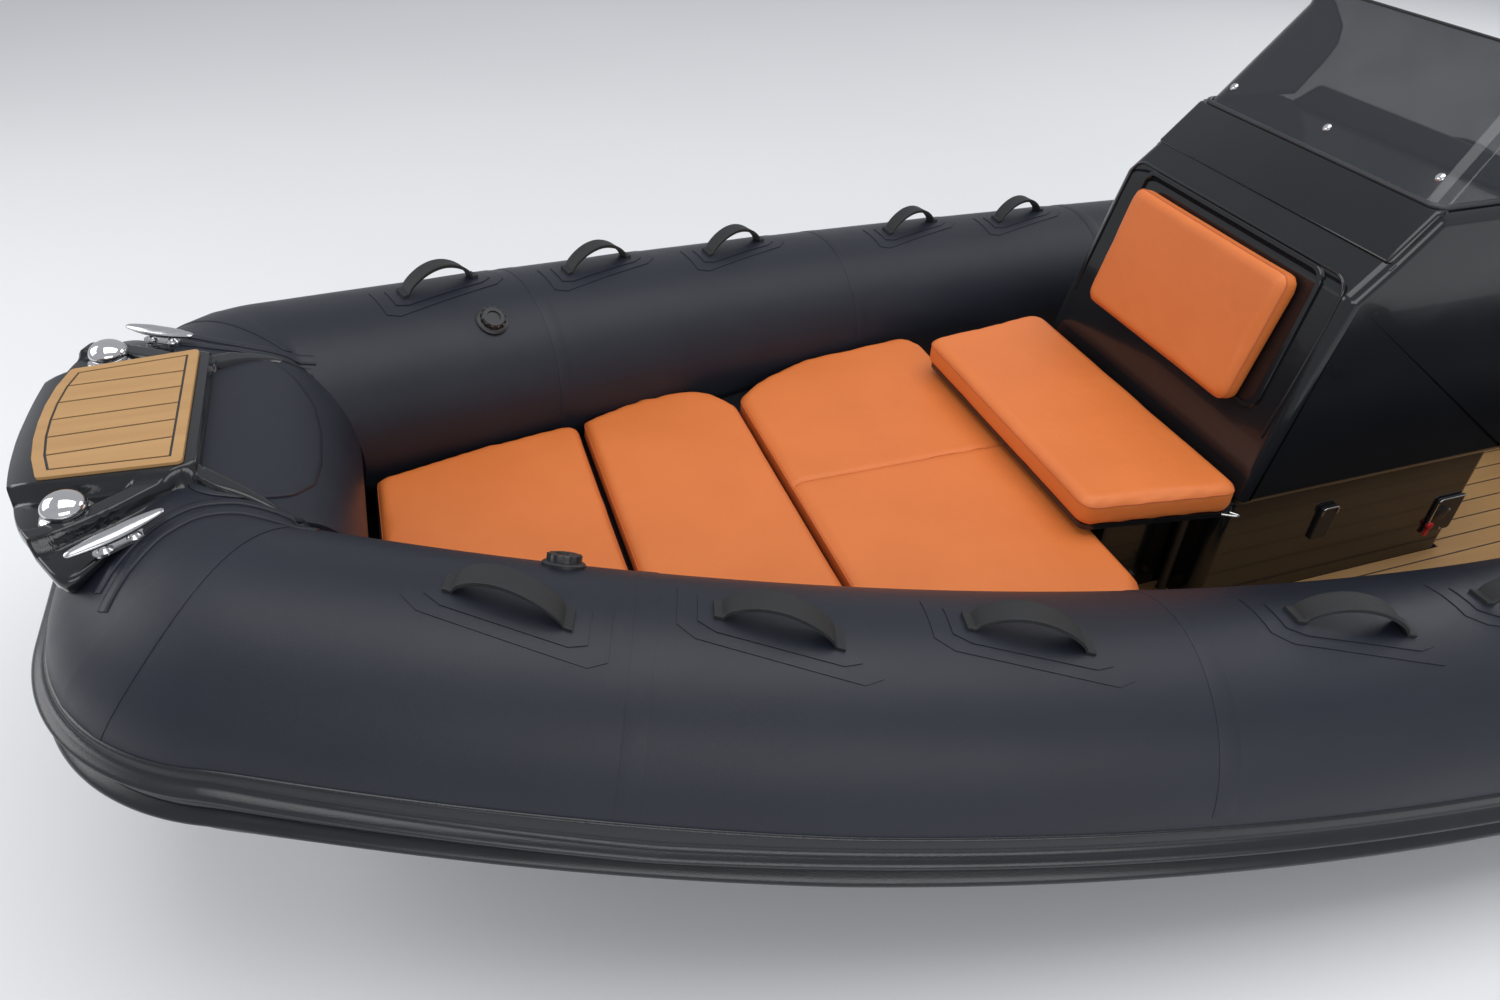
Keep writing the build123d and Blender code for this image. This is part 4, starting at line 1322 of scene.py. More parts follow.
# ------------------------------------------------------------------ cushions
@dataclass
class Cushion:
    """A foam cushion in a sewn cover, swollen by cloth simulation."""

    name: str
    node: str
    outline: list[Flat]
    thick: float
    at: Matrix
    body: Body = Body.BOAT
    finish: Finish = Finish.ORANGE
    grid: float = 0.013
    crown: float = 0.008
    swell: float = 0.0025
    fill: float = 0.9
    sewn_depth: float = 0.0055
    sewn_width: float = 0.007
    channels: list[list[Flat]] = field(default_factory=list)

    def blank(self) -> Shape:
        """The cover before it is filled: drawn in a little all round."""
        rows = ((0.010, 0.000), (0.0055, 0.004), (0.0035, 0.012), (0.0035, self.thick - 0.022),
                (0.0050, self.thick - 0.014), (0.0095, self.thick - 0.0095), (0.0150, self.thick - 0.0075))
        return Shape().stack(self.outline, rows)

    def swollen(self, coarse: bpy.types.Object) -> bpy.types.Mesh:
        """Runs the simulation.

        Args:
            coarse: the remeshed blank.

        Returns:
            Its mesh with the movement capped.
        """
        scene = bpy.context.scene
        cloth = coarse.modifiers.new("cloth", "CLOTH")
        settings = cloth.settings
        settings.quality = 6
        settings.mass = 0.3
        settings.tension_stiffness = settings.compression_stiffness = 22.0
        settings.bending_stiffness = 3.0
        settings.use_pressure = True
        settings.uniform_pressure_force = 4.0
        settings.effector_weights.gravity = 0.0
        cloth.collision_settings.use_collision = False
        for frame in range(1, 21):
            scene.frame_set(frame)
        rest = np.array([v.co for v in coarse.data.vertices])
        puffed = worked_out(coarse)
        moved = np.array([v.co for v in puffed.vertices]) - rest
        coarse.modifiers.clear()
        scene.frame_set(1)
        moved[:, 2] = np.clip(moved[:, 2], 0.0, self.crown)
        reach = np.maximum(np.linalg.norm(moved[:, :2], axis=1), 1e-9)
        moved[:, :2] *= np.minimum(1.0, self.swell / reach)[:, None]
        moved[rest[:, 2] < 0.006] *= np.array([1.0, 1.0, 0.0])
        puffed.vertices.foreach_set("co", (rest + moved).ravel())
        return puffed

    def sew(self, mesh: bpy.types.Mesh) -> None:
        """Sinks the sewn channels into the top."""
        for vert in mesh.vertices:
            if vert.co.z < self.thick * 0.55:
                continue
            sink = 0.0
            for channel in self.channels:
                for (x0, y0), (x1, y1) in zip(channel, channel[1:]):
                    run, here = Vector((x1 - x0, y1 - y0)), Vector(vert.co[:2]) - Vector((x0, y0))
                    off = (here - run * unit(here.dot(run) / run.length_squared)).length
                    sink = max(sink, self.sewn_depth * math.exp(-(off / self.sewn_width) ** 2))
            vert.co.z -= sink

    def thread(self, mesh: bpy.types.Mesh) -> Shape:
        """Stitches and the edge welt, laid on the finished cover."""
        mesh.calc_loop_triangles()
        tree = BVHTree.FromPolygons([v.co for v in mesh.vertices], [t.vertices for t in mesh.loop_triangles])
        shape = Shape()
        edge = [(x, y, self.thick - 0.0155) for x, y in self.outline]
        welt = self.laid(tree, edge + edge[:1], 0.012, 0.0004)
        shape.rod(welt[:-1], 0.0018, 8, closed=True)
        for channel in self.channels:
            path = self.laid(tree, [(x, y, self.thick) for x, y in channel], 0.0085, 0.0006)
            for a, b in zip(path, path[1:]):
                shape.rod([a.lerp(b, 0.10), a.lerp(b, 0.82)], 0.0009, 6)
        return shape

    @staticmethod
    def laid(tree: BVHTree, route: Sequence[Point], step: float, lift: float) -> list[Vector]:
        """Points along a route, dropped on the cover.

        Args:
            tree: the cover's faces.
            route: corners of the route.
            step: distance between points.
            lift: height above the cover.

        Returns:
            The points.
        """
        points = []
        for a, b in zip(route, route[1:]):
            a, b = Vector(a), Vector(b)
            count = max(1, int((b - a).length / step))
            for k in range(count):
                near, normal, _, _ = tree.find_nearest(a.lerp(b, k / count))
                points.append(near + normal * lift)
        near, normal, _, _ = tree.find_nearest(Vector(route[-1]))
        points.append(near + normal * lift)
        return points

    def build(self) -> None:
        """Makes the cushion and its thread."""
        blank = self.blank()
        mesh = bpy.data.meshes.new(self.name + "_blank")
        mesh.from_pydata([tuple(point) for point in blank.verts], [], blank.faces)
        coarse = put(self.name + "_blank", mesh)
        remesh = coarse.modifiers.new("grid", "REMESH")
        remesh.mode, remesh.voxel_size = "VOXEL", self.grid
        coarse.data = worked_out(coarse)
        coarse.modifiers.clear()
        coarse.data = self.swollen(coarse)
        finer = coarse.modifiers.new("finer", "SUBSURF")
        finer.levels = 1
        final = worked_out(coarse)
        bpy.data.objects.remove(coarse)
        self.sew(final)
        threads = self.thread(final).moved(self.at)
        final.transform(self.at)
        final.name = self.name
        final.shade_smooth()
        piece = put(self.name, final)
        settle(piece, self.finish, self.body, [self.node])
        sewn = Finish.THREAD if self.finish is Finish.ORANGE else self.finish
        place(self.name + "_seams", threads, sewn, self.body, crease=60)


def tilted(x: float, z: float, rise: float) -> Matrix:
    """A place at (x, z) on the middle of the boat, with its own +X climbing by a number of radians."""
    return Matrix.Translation((x, 0.0, z)) @ Matrix.Rotation(-rise, 4, "Y")


def upright(x: float, z: float, run: float, climb: float) -> Matrix:
    """A backrest's place: foot at (x, z), its length along (run, climb) and its face forward."""
    return tilted(x, z, math.atan2(climb, run)) @ Matrix.Rotation(math.pi, 4, "X")


@dataclass
class Upholstery:
    """All the cushions of the boat."""

    thick: float = 0.070

    def bow(self) -> list[Cushion]:
        """The three cushions of the bow deck."""
        rows = (
            ("bow_cushion_fore", "bow_cushion_1", (1.844, 0.444), (2.378, 0.498),
             [(0.000, 0.408), (0.270, 0.326), (0.528, 0.222)], [0.030, 0.0, 0.030]),
            ("bow_cushion_middle", "bow_cushion_2", (1.391, 0.420), (1.840, 0.442),
             [(0.000, 0.400), (0.050, 0.484), (0.115, 0.512), (0.262, 0.488), (0.446, 0.412)],
             [0.040, 0.090, 0.120, 0.0, 0.030]),
            ("bow_cushion_aft", "bow_cushion_3", (0.735, 0.420), (1.387, 0.420),
             [(0.000, 0.565), (0.030, 0.632), (0.400, 0.587), (0.558, 0.512), (0.650, 0.436)],
             [0.030, 0.050, 0.0, 0.150, 0.060]))
        cushions = []
        for name, node, (xb, zb), (xf, zf), half, radii in rows:
            outline = rounded(whole(half), radii + radii[::-1], 7)
            rise = math.atan2(zf - zb, xf - xb)
            down = spot((0.0, 0.0, -self.thick))
            cushion = Cushion(name, node, outline, self.thick, tilted(xb, zb, rise) @ down, grid=0.014)
            if node == "bow_cushion_3":
                cushion.channels = [[(0.006, 0.0), (0.644, 0.0)]]
            cushions.append(cushion)
        return cushions

    def console_seat(self) -> list[Cushion]:
        """The seat before the console and its backrest."""
        seat = rounded(whole([(0.402, 0.474), (0.813, 0.416)]), 0.040)
        rest = rounded(whole([(0.0, 0.300), (0.338, 0.296)]), 0.034)
        back = upright(0.3434, 0.6426, -0.084, 0.336)
        return [Cushion("console_seat_pad", "console_seat_cushion", seat, 0.0745,
                        spot((0.0, 0.0, 0.4555)), Body.SEAT_LID, grid=0.012),
                Cushion("console_back_pad", "console_backrest", rest, 0.059, back, grid=0.011, crown=0.006)]

    def helm(self) -> list[Cushion]:
        """The helm seat's cushion and its quilted backrest."""
        seat = oblong(-1.458, -1.084, 0.376, -0.376, 0.045)
        rest = rounded(whole([(0.0, 0.366), (0.432, 0.340)]), 0.050)
        back = upright(-1.5385, 0.747, -0.068, 0.435)
        return [Cushion("helm_seat_pad", "helm_seat_cushion", seat, 0.089,
                        spot((0.0, 0.0, 0.741)), finish=Finish.DARK_VINYL, crown=0.007,
                        channels=[[(-1.44, y), (-1.10, y)] for y in (-0.19, 0.0, 0.19)]),
                Cushion("helm_back_pad", "helm_backrest", rest, 0.066, back, finish=Finish.DARK_VINYL,
                        channels=[[(0.02, y), (0.412, y * 0.93)] for y in (-0.245, -0.12, 0.0, 0.12, 0.245)])]

    def bench(self) -> list[Cushion]:
        """The stern bench's cushion and backrest."""
        seat = oblong(-2.069, -1.641, 0.558, -0.558, 0.040)
        rest = rounded(whole([(0.0, 0.538), (0.281, 0.532)]), 0.036)
        back = upright(-2.1425, 0.5215, -0.026, 0.280)
        return [Cushion("bench_seat_pad", "stern_bench_cushion", seat, 0.0735,
                        spot((0.0, 0.0, 0.4265)), Body.BENCH_LID, grid=0.013,
                        channels=[[(-2.06, y), (-1.65, y)] for y in (-0.185, 0.185)]),
                Cushion("bench_back_pad", "stern_backrest", rest, 0.053, back, grid=0.012,
                        channels=[[(0.01, y), (0.272, y)] for y in (-0.185, 0.185)])]

    def build(self) -> None:
        """Makes every cushion."""
        for cushion in self.bow() + self.console_seat() + self.helm() + self.bench():
            cushion.build()


# ------------------------------------------------------------------ kept pieces of the frame
def dress(node: str, finish: Finish, bevel: float = 0.0) -> None:
    """Gives a piece of the frame its finish, with softened edges.

    Args:
        node: the frame's node.
        finish: what covers it.
        bevel: width of its rounded edges, in metres.
    """
    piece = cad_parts[node]
    for slot in piece.material_slots:
        slot.material = finish.material()
    if bevel:
        piece.modifiers.new("joined", "WELD").merge_threshold = 1e-5
        soften(piece, bevel)
        piece.modifiers.new("shading", "WEIGHTED_NORMAL").keep_sharp = False


# ------------------------------------------------------------------ console
@dataclass
class Console:
    """The console: a glossy moulding with leaning sides, a brow under the screen and a stepped-in foot."""

    half: float = 0.450
    foot_half: float = 0.420
    step: float = 0.440
    floor: float = 0.080
    lean_from: float = 0.440
    lean: float = 2.91
    edge: float = 0.030
    side: tuple[Flat, ...] = ((0.387, 0.440), (0.340, 0.640), (0.256, 0.975), (0.175, 1.050), (0.078, 1.150),
                              (-0.180, 1.150), (-0.400, 1.030), (-0.480, 0.880), (-0.480, 0.440))
    corners: tuple[float, ...] = (0.022, 0.20, 0.030, 0.018, 0.030, 0.08, 0.10, 0.06, 0.022)

    def half_at(self, z: float) -> float:
        """Half the console's width at a height."""
        return self.half - max(0.0, z - self.lean_from) * math.tan(math.radians(self.lean))

    def slab(self, outline: Outline, trim: float, edge: float, steps: int = 5) -> Shape:
        """A side outline carried across the console between its leaning sides, with rounded edges.

        Args:
            outline: points of (x, z).
            trim: how far it stays inside the console's sides.
            edge: radius of its edges.
            steps: rings on each rounded edge.

        Returns:
            The slab.
        """
        rings = []
        for side in (-1, 1):
            turns = [math.pi / 2 * k / steps for k in range(steps + 1)]
            for turn in turns if side < 0 else reversed(turns):
                gap, back = edge * (1 - math.sin(turn)), edge * (1 - math.cos(turn))
                rings.append([(x, side * (self.half_at(z) - trim - back), z)
                              for x, z in inset(outline, gap)])
        return Shape().skin(rings)

    def face(self, along: float, y: float, proud: float) -> Vector:
        """A point on the leaning front.

        Args:
            along: distance up the front from its foot at z 0.640.
            y: place across the boat.
            proud: distance out from the front.

        Returns:
            The point.
        """
        up = Vector((self.side[2][0] - self.side[1][0], 0.0, self.side[2][1] - self.side[1][1])).normalized()
        out = Vector((up.z, 0.0, -up.x))
        return Vector((self.side[1][0], y, self.side[1][1])) + up * along + out * proud

    def frame_round_rest(self) -> Shape:
        """The stepped rim of the recess that the backrest lies in."""
        loop = rounded(whole([(0.012, 0.352), (0.376, 0.330)]), 0.040, 7)
        rows = [(0.0, -0.004), (0.0, 0.0055), (0.0020, 0.0075), (0.0105, 0.0075), (0.0125, 0.0055),
                (0.0125, -0.004)]
        rings = [[self.face(a, y, proud) for a, y in inset(loop, gap)] for gap, proud in rows]
        return Shape().skin(rings + rings[:1], caps=False)

    def outer_line(self) -> Shape:
        """The raised line under the brow, which turns down beside the console's edge."""
        shape = Shape()
        route = rounded(whole([(0.300, 0.394), (0.380, 0.388)]), [0.0, 0.05, 0.05, 0.0], 8)
        route = [(-0.020 + 0.02 * k, 0.405 - 0.0006 * k) for k in range(16)] + route[1:-1]
        route += [(0.280 - 0.02 * k, -0.396 - 0.0006 * k) for k in range(16)]
        return shape.rod([self.face(a, y, 0.0005) for a, y in route], 0.0040, 10)

    def brow(self) -> None:
        """The proud band under the screen, a dark rubber strip in the gap under it as painted shade, and the
        screen's gasket.
        """
        band = rounded([(0.1835, 1.0485), (0.0850, 1.1500), (0.0560, 1.1555), (0.0560, 1.1400),
                        (0.1650, 1.0370)],
                       [0.006, 0.010, 0.003, 0.0, 0.003], 4)
        place("console_brow", self.slab(band, 0.010, 0.012, 4), Finish.BLACK, crease=50)
        # painted shade: a dark rubber strip in the gap under the brow's lower edge
        gap = [(0.1765, 1.0350), (0.1620, 1.0480), (0.1500, 1.0380), (0.1700, 1.0260)]
        place("console_brow_painted_shade", self.slab(gap, 0.004, 0.002, 2), Finish.RUBBER)
        foot = rounded(whole([(-0.225, 0.392), (0.078, 0.392)]), [0.0, 0.03, 0.03, 0.0], 8)
        place("screen_gasket", Shape().rod([(x, y, 1.1545) for x, y in foot], 0.0065, 12), Finish.RUBBER)

    def side_fittings(self) -> None:
        """The latch, and the battery switch in its recess."""
        out = self.foot_half
        latch = Shape().across(oblong(0.008, 0.062, 0.250, 0.356, 0.006),
                               out - 0.002, out + 0.010)
        place("side_latch", latch, Finish.PLASTIC, bevel=0.003)
        lip = rounded([(0.010, 0.335), (0.010, 0.357), (0.060, 0.357), (0.060, 0.335)],
                      [0.0, 0.008, 0.008, 0.0])
        place("side_latch_lip", Shape().rod([(x, out + 0.012, z) for x, z in lip], 0.0028, 10), Finish.STEEL)
        frame = oblong(-0.470, -0.371, 0.166, 0.289, 0.010)
        panel = Shape().across(frame, out, out + 0.006)
        place("switch_panel", panel, Finish.PLASTIC, replaces=["battery_switch"], bevel=0.002)
        rim = rounded([(-0.375, 0.205), (-0.375, 0.285), (-0.466, 0.285)], [0.0, 0.012, 0.0])
        place("switch_panel_rim", Shape().rod([(x, out + 0.008, z) for x, z in rim], 0.0022, 10),
              Finish.STEEL)
        knob = spot((-0.404, out + 0.006, 0.232), "X", -90.0)
        base = Shape().turned([(0.025, 0.0), (0.025, 0.003), (0.021, 0.006), (0.004, 0.006)], knob, 36)
        place("switch_base", base, Finish.PLASTIC)
        key = Shape().turned([(0.011, 0.0), (0.011, 0.008), (0.008, 0.011), (0.002, 0.011)],
                             spot((-0.381, out + 0.005, 0.196), "X", -90.0), 28)
        key.across(rounded([(-0.389, 0.160), (-0.373, 0.160), (-0.376, 0.198), (-0.386, 0.198)], 0.005),
                   out + 0.004, out + 0.012)
        place("switch_key", key, Finish.RED, bevel=0.0015)
        screws = Shape()
        for x, z in ((-0.4335, 0.1725), (-0.3775, 0.1725), (-0.4335, 0.2400)):
            head = spot((x, out + 0.006, z), "X", -90.0)
            screws.turned([(0.0040, 0.0), (0.0036, 0.0016), (0.0018, 0.0022), (0.0006, 0.0022)], head, 16)
        place("switch_screws", screws, Finish.STEEL)

    def build(self) -> None:
        """Makes the console."""
        outline = rounded(self.side, self.corners, 6)
        shell = self.slab(outline, 0.0, self.edge, 6)
        foot = oblong(-0.480, 0.387, 0.420, -0.420, 0.030)
        shell.plate(foot, self.floor, self.step + 0.015)
        shell.turned([(0.034, -0.130), (0.034, -0.085), (0.024, -0.070), (0.022, -0.018), (0.004, -0.018)],
                     COLUMN, 36)
        moulding = place("console_shell", shell, Finish.BLACK, replaces=["console"], crease=40)
        moulding.modifiers.new("flat_sides", "WEIGHTED_NORMAL").keep_sharp = True
        skirt = oblong(-0.4815, 0.3885, 0.4215, -0.4215, 0.031)
        rows = ((0.0015, 0.434), (-0.0035, 0.436), (-0.0035, 0.4405), (0.0015, 0.4425))
        place("console_base_line", Shape().stack(skirt, rows), Finish.RUBBER)
        rim = self.frame_round_rest()
        place("backrest_recess_rim", rim.add(self.outer_line()), Finish.BLACK, crease=40)
        self.brow()
        self.side_fittings()
        dress("console_seat_base", Finish.BLACK, 0.006)
        dress("console_seat_lid", Finish.BLACK, 0.004)
        struts, feet = Shape(), Shape()
        foot_plate = [(0.026, 0.080), (0.026, 0.084), (0.016, 0.088), (0.0145, 0.100), (0.0145, 0.112)]
        for y in (0.350, -0.350):
            at = spot((0.430, y, 0.0))
            struts.turned([(0.0125, 0.100), (0.0125, 0.420), (0.014, 0.422), (0.014, 0.440)], at, 28)
            feet.turned(foot_plate, at, 32)
        place("seat_struts", struts, Finish.PLASTIC, replaces=["console_seat_struts"])
        place("seat_strut_feet", feet, Finish.STEEL)
        hook = Shape()
        bend = ((0.425, 0.97), (0.408, 1.02), (0.402, 1.035), (0.412, 1.035), (0.440, 1.00))
        for y in (0.458, -0.458):
            hook.rod(smooth_line([(x, y * share, 0.449) for x, share in bend]), 0.0030, 10)
        place("seat_hooks", hook, Finish.STEEL, Body.SEAT_LID)


@dataclass
class Windscreen:
    """The smoked screen: a leaning front that turns into low side wings, with its screws."""

    foot: Point = (0.078, 0.392, 1.1555)
    top: Point = (-0.150, 0.355, 1.4345)
    thick: float = 0.005
    corner: float = 0.050

    def ring(self, share: float) -> list[Point]:
        """The sheet's plan at a share of its height."""
        front = self.foot[0] + (self.top[0] - self.foot[0]) * share
        half = self.foot[1] + (self.top[1] - self.foot[1]) * share
        aft = float(np.interp(share, (0.0, 0.30, 0.45, 0.62, 0.85, 1.0),
                              (-0.230, -0.283, -0.300, -0.288, -0.224, self.top[0] - 0.006)))
        z = self.foot[2] + (self.top[2] - self.foot[2]) * share
        outer, inner = (rounded(whole([(aft, half - skin), (front - skin, half - skin)]),
                                [0.0, self.corner - skin, self.corner - skin, 0.0], 10)
                                for skin in (0.0, self.thick))
        return [(x, y, z) for x, y in outer + inner[::-1]]

    def build(self) -> None:
        """Makes the sheet, its polished edge and its screws."""
        steps = 28
        shares = [1 - (1 - k / steps) ** 1.25 for k in range(steps + 1)]
        rings = [self.ring(share) for share in shares]
        place("windscreen_sheet", Shape().skin(rings), Finish.SCREEN, replaces=["windscreen"], crease=60)
        half_ring = len(rings[0]) // 2
        edge = [ring[0] for ring in rings] + rings[-1][1:half_ring - 1]
        edge += [ring[half_ring - 1] for ring in rings[::-1]]
        trim = [Vector(a) for a in edge]
        place("windscreen_edge", Shape().rod(trim, 0.0034, 8), Finish.PLASTIC)
        screws = Shape()
        lean = math.atan2(self.foot[0] - self.top[0], self.top[2] - self.foot[2])
        for y in (0.336, 0.0, -0.336):
            share = 0.16
            x = self.foot[0] + (self.top[0] - self.foot[0]) * share
            z = self.foot[2] + (self.top[2] - self.foot[2]) * share
            at = Matrix.Translation((x, y, z)) @ Matrix.Rotation(math.pi / 2 - lean, 4, "Y")
            screws.turned([(0.0105, 0.0), (0.0105, 0.0015), (0.0080, 0.0045), (0.0040, 0.0058),
                           (0.0008, 0.0060)], at, 28)
        place("windscreen_screws", screws, Finish.CHROME)


@dataclass
class Dash:
    """The dash hood with its gauges and switches, the steering wheel and the throttle."""

    lean: float = -35.4
    middle: Flat = (-0.318, 1.142)

    def slope(self, along: float, y: float, up: float = 0.0) -> Matrix:
        """A place on the dash's slope, +Z out of it: a distance down it, one across, and one off it."""
        return spot((self.middle[0], y, self.middle[1]), "Y", self.lean) @ spot((-along, 0.0, up))

    def gauges(self) -> None:
        """Two round gauges with ticks and needles."""
        bezels, faces, marks, needles = Shape(), Shape(), Shape(), Shape()
        bezel = [(0.046, -0.006), (0.046, 0.0035), (0.044, 0.0065), (0.0405, 0.0062), (0.0395, 0.0030)]
        pointer = [[(x, -w, 0.0044), (x, w, 0.0044), (x, w, 0.0052), (x, -w, 0.0052)]
                   for x, w in ((-0.008, 0.0011), (0.0, 0.0016), (0.031, 0.0004))]
        for y, needle in ((-0.170, 205.0), (-0.060, 240.0)):
            at = self.slope(0.0, y)
            bezels.turned(bezel, at, 56)
            faces.turned([(0.0400, 0.0), (0.0400, 0.0032), (0.001, 0.0034)], at, 56)
            for k in range(25):
                turn = at @ Matrix.Rotation(math.radians(-60 - 10 * k), 4, "Z")
                inner = 0.029 if k % 4 == 0 else 0.033
                width = 0.0008 if k % 4 == 0 else 0.0004
                marks.add(Shape().box((inner, -width, 0.0030), (0.0365, width, 0.0040)).moved(turn))
            hand = at @ Matrix.Rotation(math.radians(-needle), 4, "Z")
            needles.add(Shape().skin(pointer).moved(hand))
        place("gauge_bezels", bezels, Finish.CHROME, replaces=["gauges"], crease=50)
        place("gauge_faces", faces, Finish.PLASTIC)
        place("gauge_marks", marks, Finish.DIAL)
        place("gauge_needles", needles, Finish.RED)

    def build(self) -> None:
        """Makes the hood, its panel and what stands on it."""
        hood = rounded([(-0.150, 1.151), (-0.240, 1.195), (-0.395, 1.085), (-0.385, 1.045)],
                       [0.006, 0.030, 0.012, 0.006], 6)
        rows = ((0.012, -0.330), (0.004, -0.326), (0.0, -0.318), (0.0, 0.318), (0.004, 0.326), (0.012, 0.330))
        place("dash_hood", Shape().stack(hood, rows, "y"), Finish.PLASTIC, replaces=["dash"], crease=40)
        self.gauges()
        panel, rockers = Shape(), Shape()
        plate_edge = oblong(-0.030, 0.030, -0.115, 0.115, 0.008)
        panel.add(Shape().plate(plate_edge, -0.002, 0.003).moved(self.slope(0.0, 0.135)))
        for k in range(6):
            at = self.slope(0.0, 0.045 + 0.036 * k, 0.003)
            rocker = [(-0.020, 0.0), (-0.020, 0.0060), (-0.004, 0.0035), (0.020, 0.0075), (0.020, 0.0)]
            rockers.add(Shape().across(rocker, -0.012, 0.012).moved(at))
        place("switch_plate", panel, Finish.STEEL, bevel=0.001)
        place("rocker_switches", rockers, Finish.PLASTIC, bevel=0.001)
        self.wheel()
        self.throttle()

    def wheel(self) -> None:
        """The steering wheel: a padded rim on three dished spokes."""
        at = COLUMN
        count = 96
        radius, angles = 0.165, [math.tau * k / count for k in range(count)]
        loop = [(radius * math.cos(a), radius * math.sin(a), 0.0) for a in angles]
        sizes = [0.0140 - 0.0012 * (0.5 + 0.5 * math.cos(24 * a)) for a in angles]
        rim = Shape().rod(loop, sizes, 20, closed=True).moved(at)
        place("wheel_rim", rim, Finish.PLASTIC, Body.WHEEL, replaces=["steering_wheel"], crease=60)
        spokes = Shape()
        for turn in turns(at, 3):
            rings = []
            for r, half, up in ((0.018, 0.017, 0.004), (0.050, 0.013, 0.000), (0.100, 0.010, -0.003),
                                (0.140, 0.0095, -0.002),
                                (0.160, 0.012, 0.0)):
                rings.append([(r, -half, up - 0.0025), (r, half, up - 0.0025), (r, half * 0.8, up + 0.0025),
                              (r, -half * 0.8, up + 0.0025)])
            spokes.add(Shape().skin(rings).moved(turn))
        place("wheel_spokes", spokes, Finish.STEEL, Body.WHEEL, bevel=0.0012)
        hub = [(0.030, -0.013), (0.030, 0.002), (0.034, 0.006), (0.034, 0.010), (0.026, 0.013),
               (0.002, 0.014)]
        place("wheel_hub", Shape().turned(hub, at, 48), Finish.PLASTIC, Body.WHEEL)

    @staticmethod
    def throttle() -> None:
        """The throttle: a box on the console's back with a cranked lever."""
        box = oblong(-0.299, -0.221, 0.781, 0.859, 0.012)
        rows = ((0.0, -0.4805), (0.0, -0.494), (0.003, -0.4985), (0.010, -0.500))
        place("throttle_box", Shape().stack(box, rows, "x"), Finish.PLASTIC, replaces=["throttle"], crease=50)
        route = smooth_line([(-0.496, -0.260, 0.820), (-0.509, -0.260, 0.822), (-0.5125, -0.260, 0.850),
                              (-0.5125, -0.260, 0.905)])
        place("throttle_lever", Shape().rod(route, 0.0065, 16), Finish.STEEL)
        grip = spot((-0.5125, -0.260, 0.0))
        knob = [(0.0075, 0.892), (0.0098, 0.898), (0.0098, 0.944), (0.0080, 0.955), (0.0030, 0.9595)]
        place("throttle_grip", Shape().turned(knob, grip, 28), Finish.RUBBER)


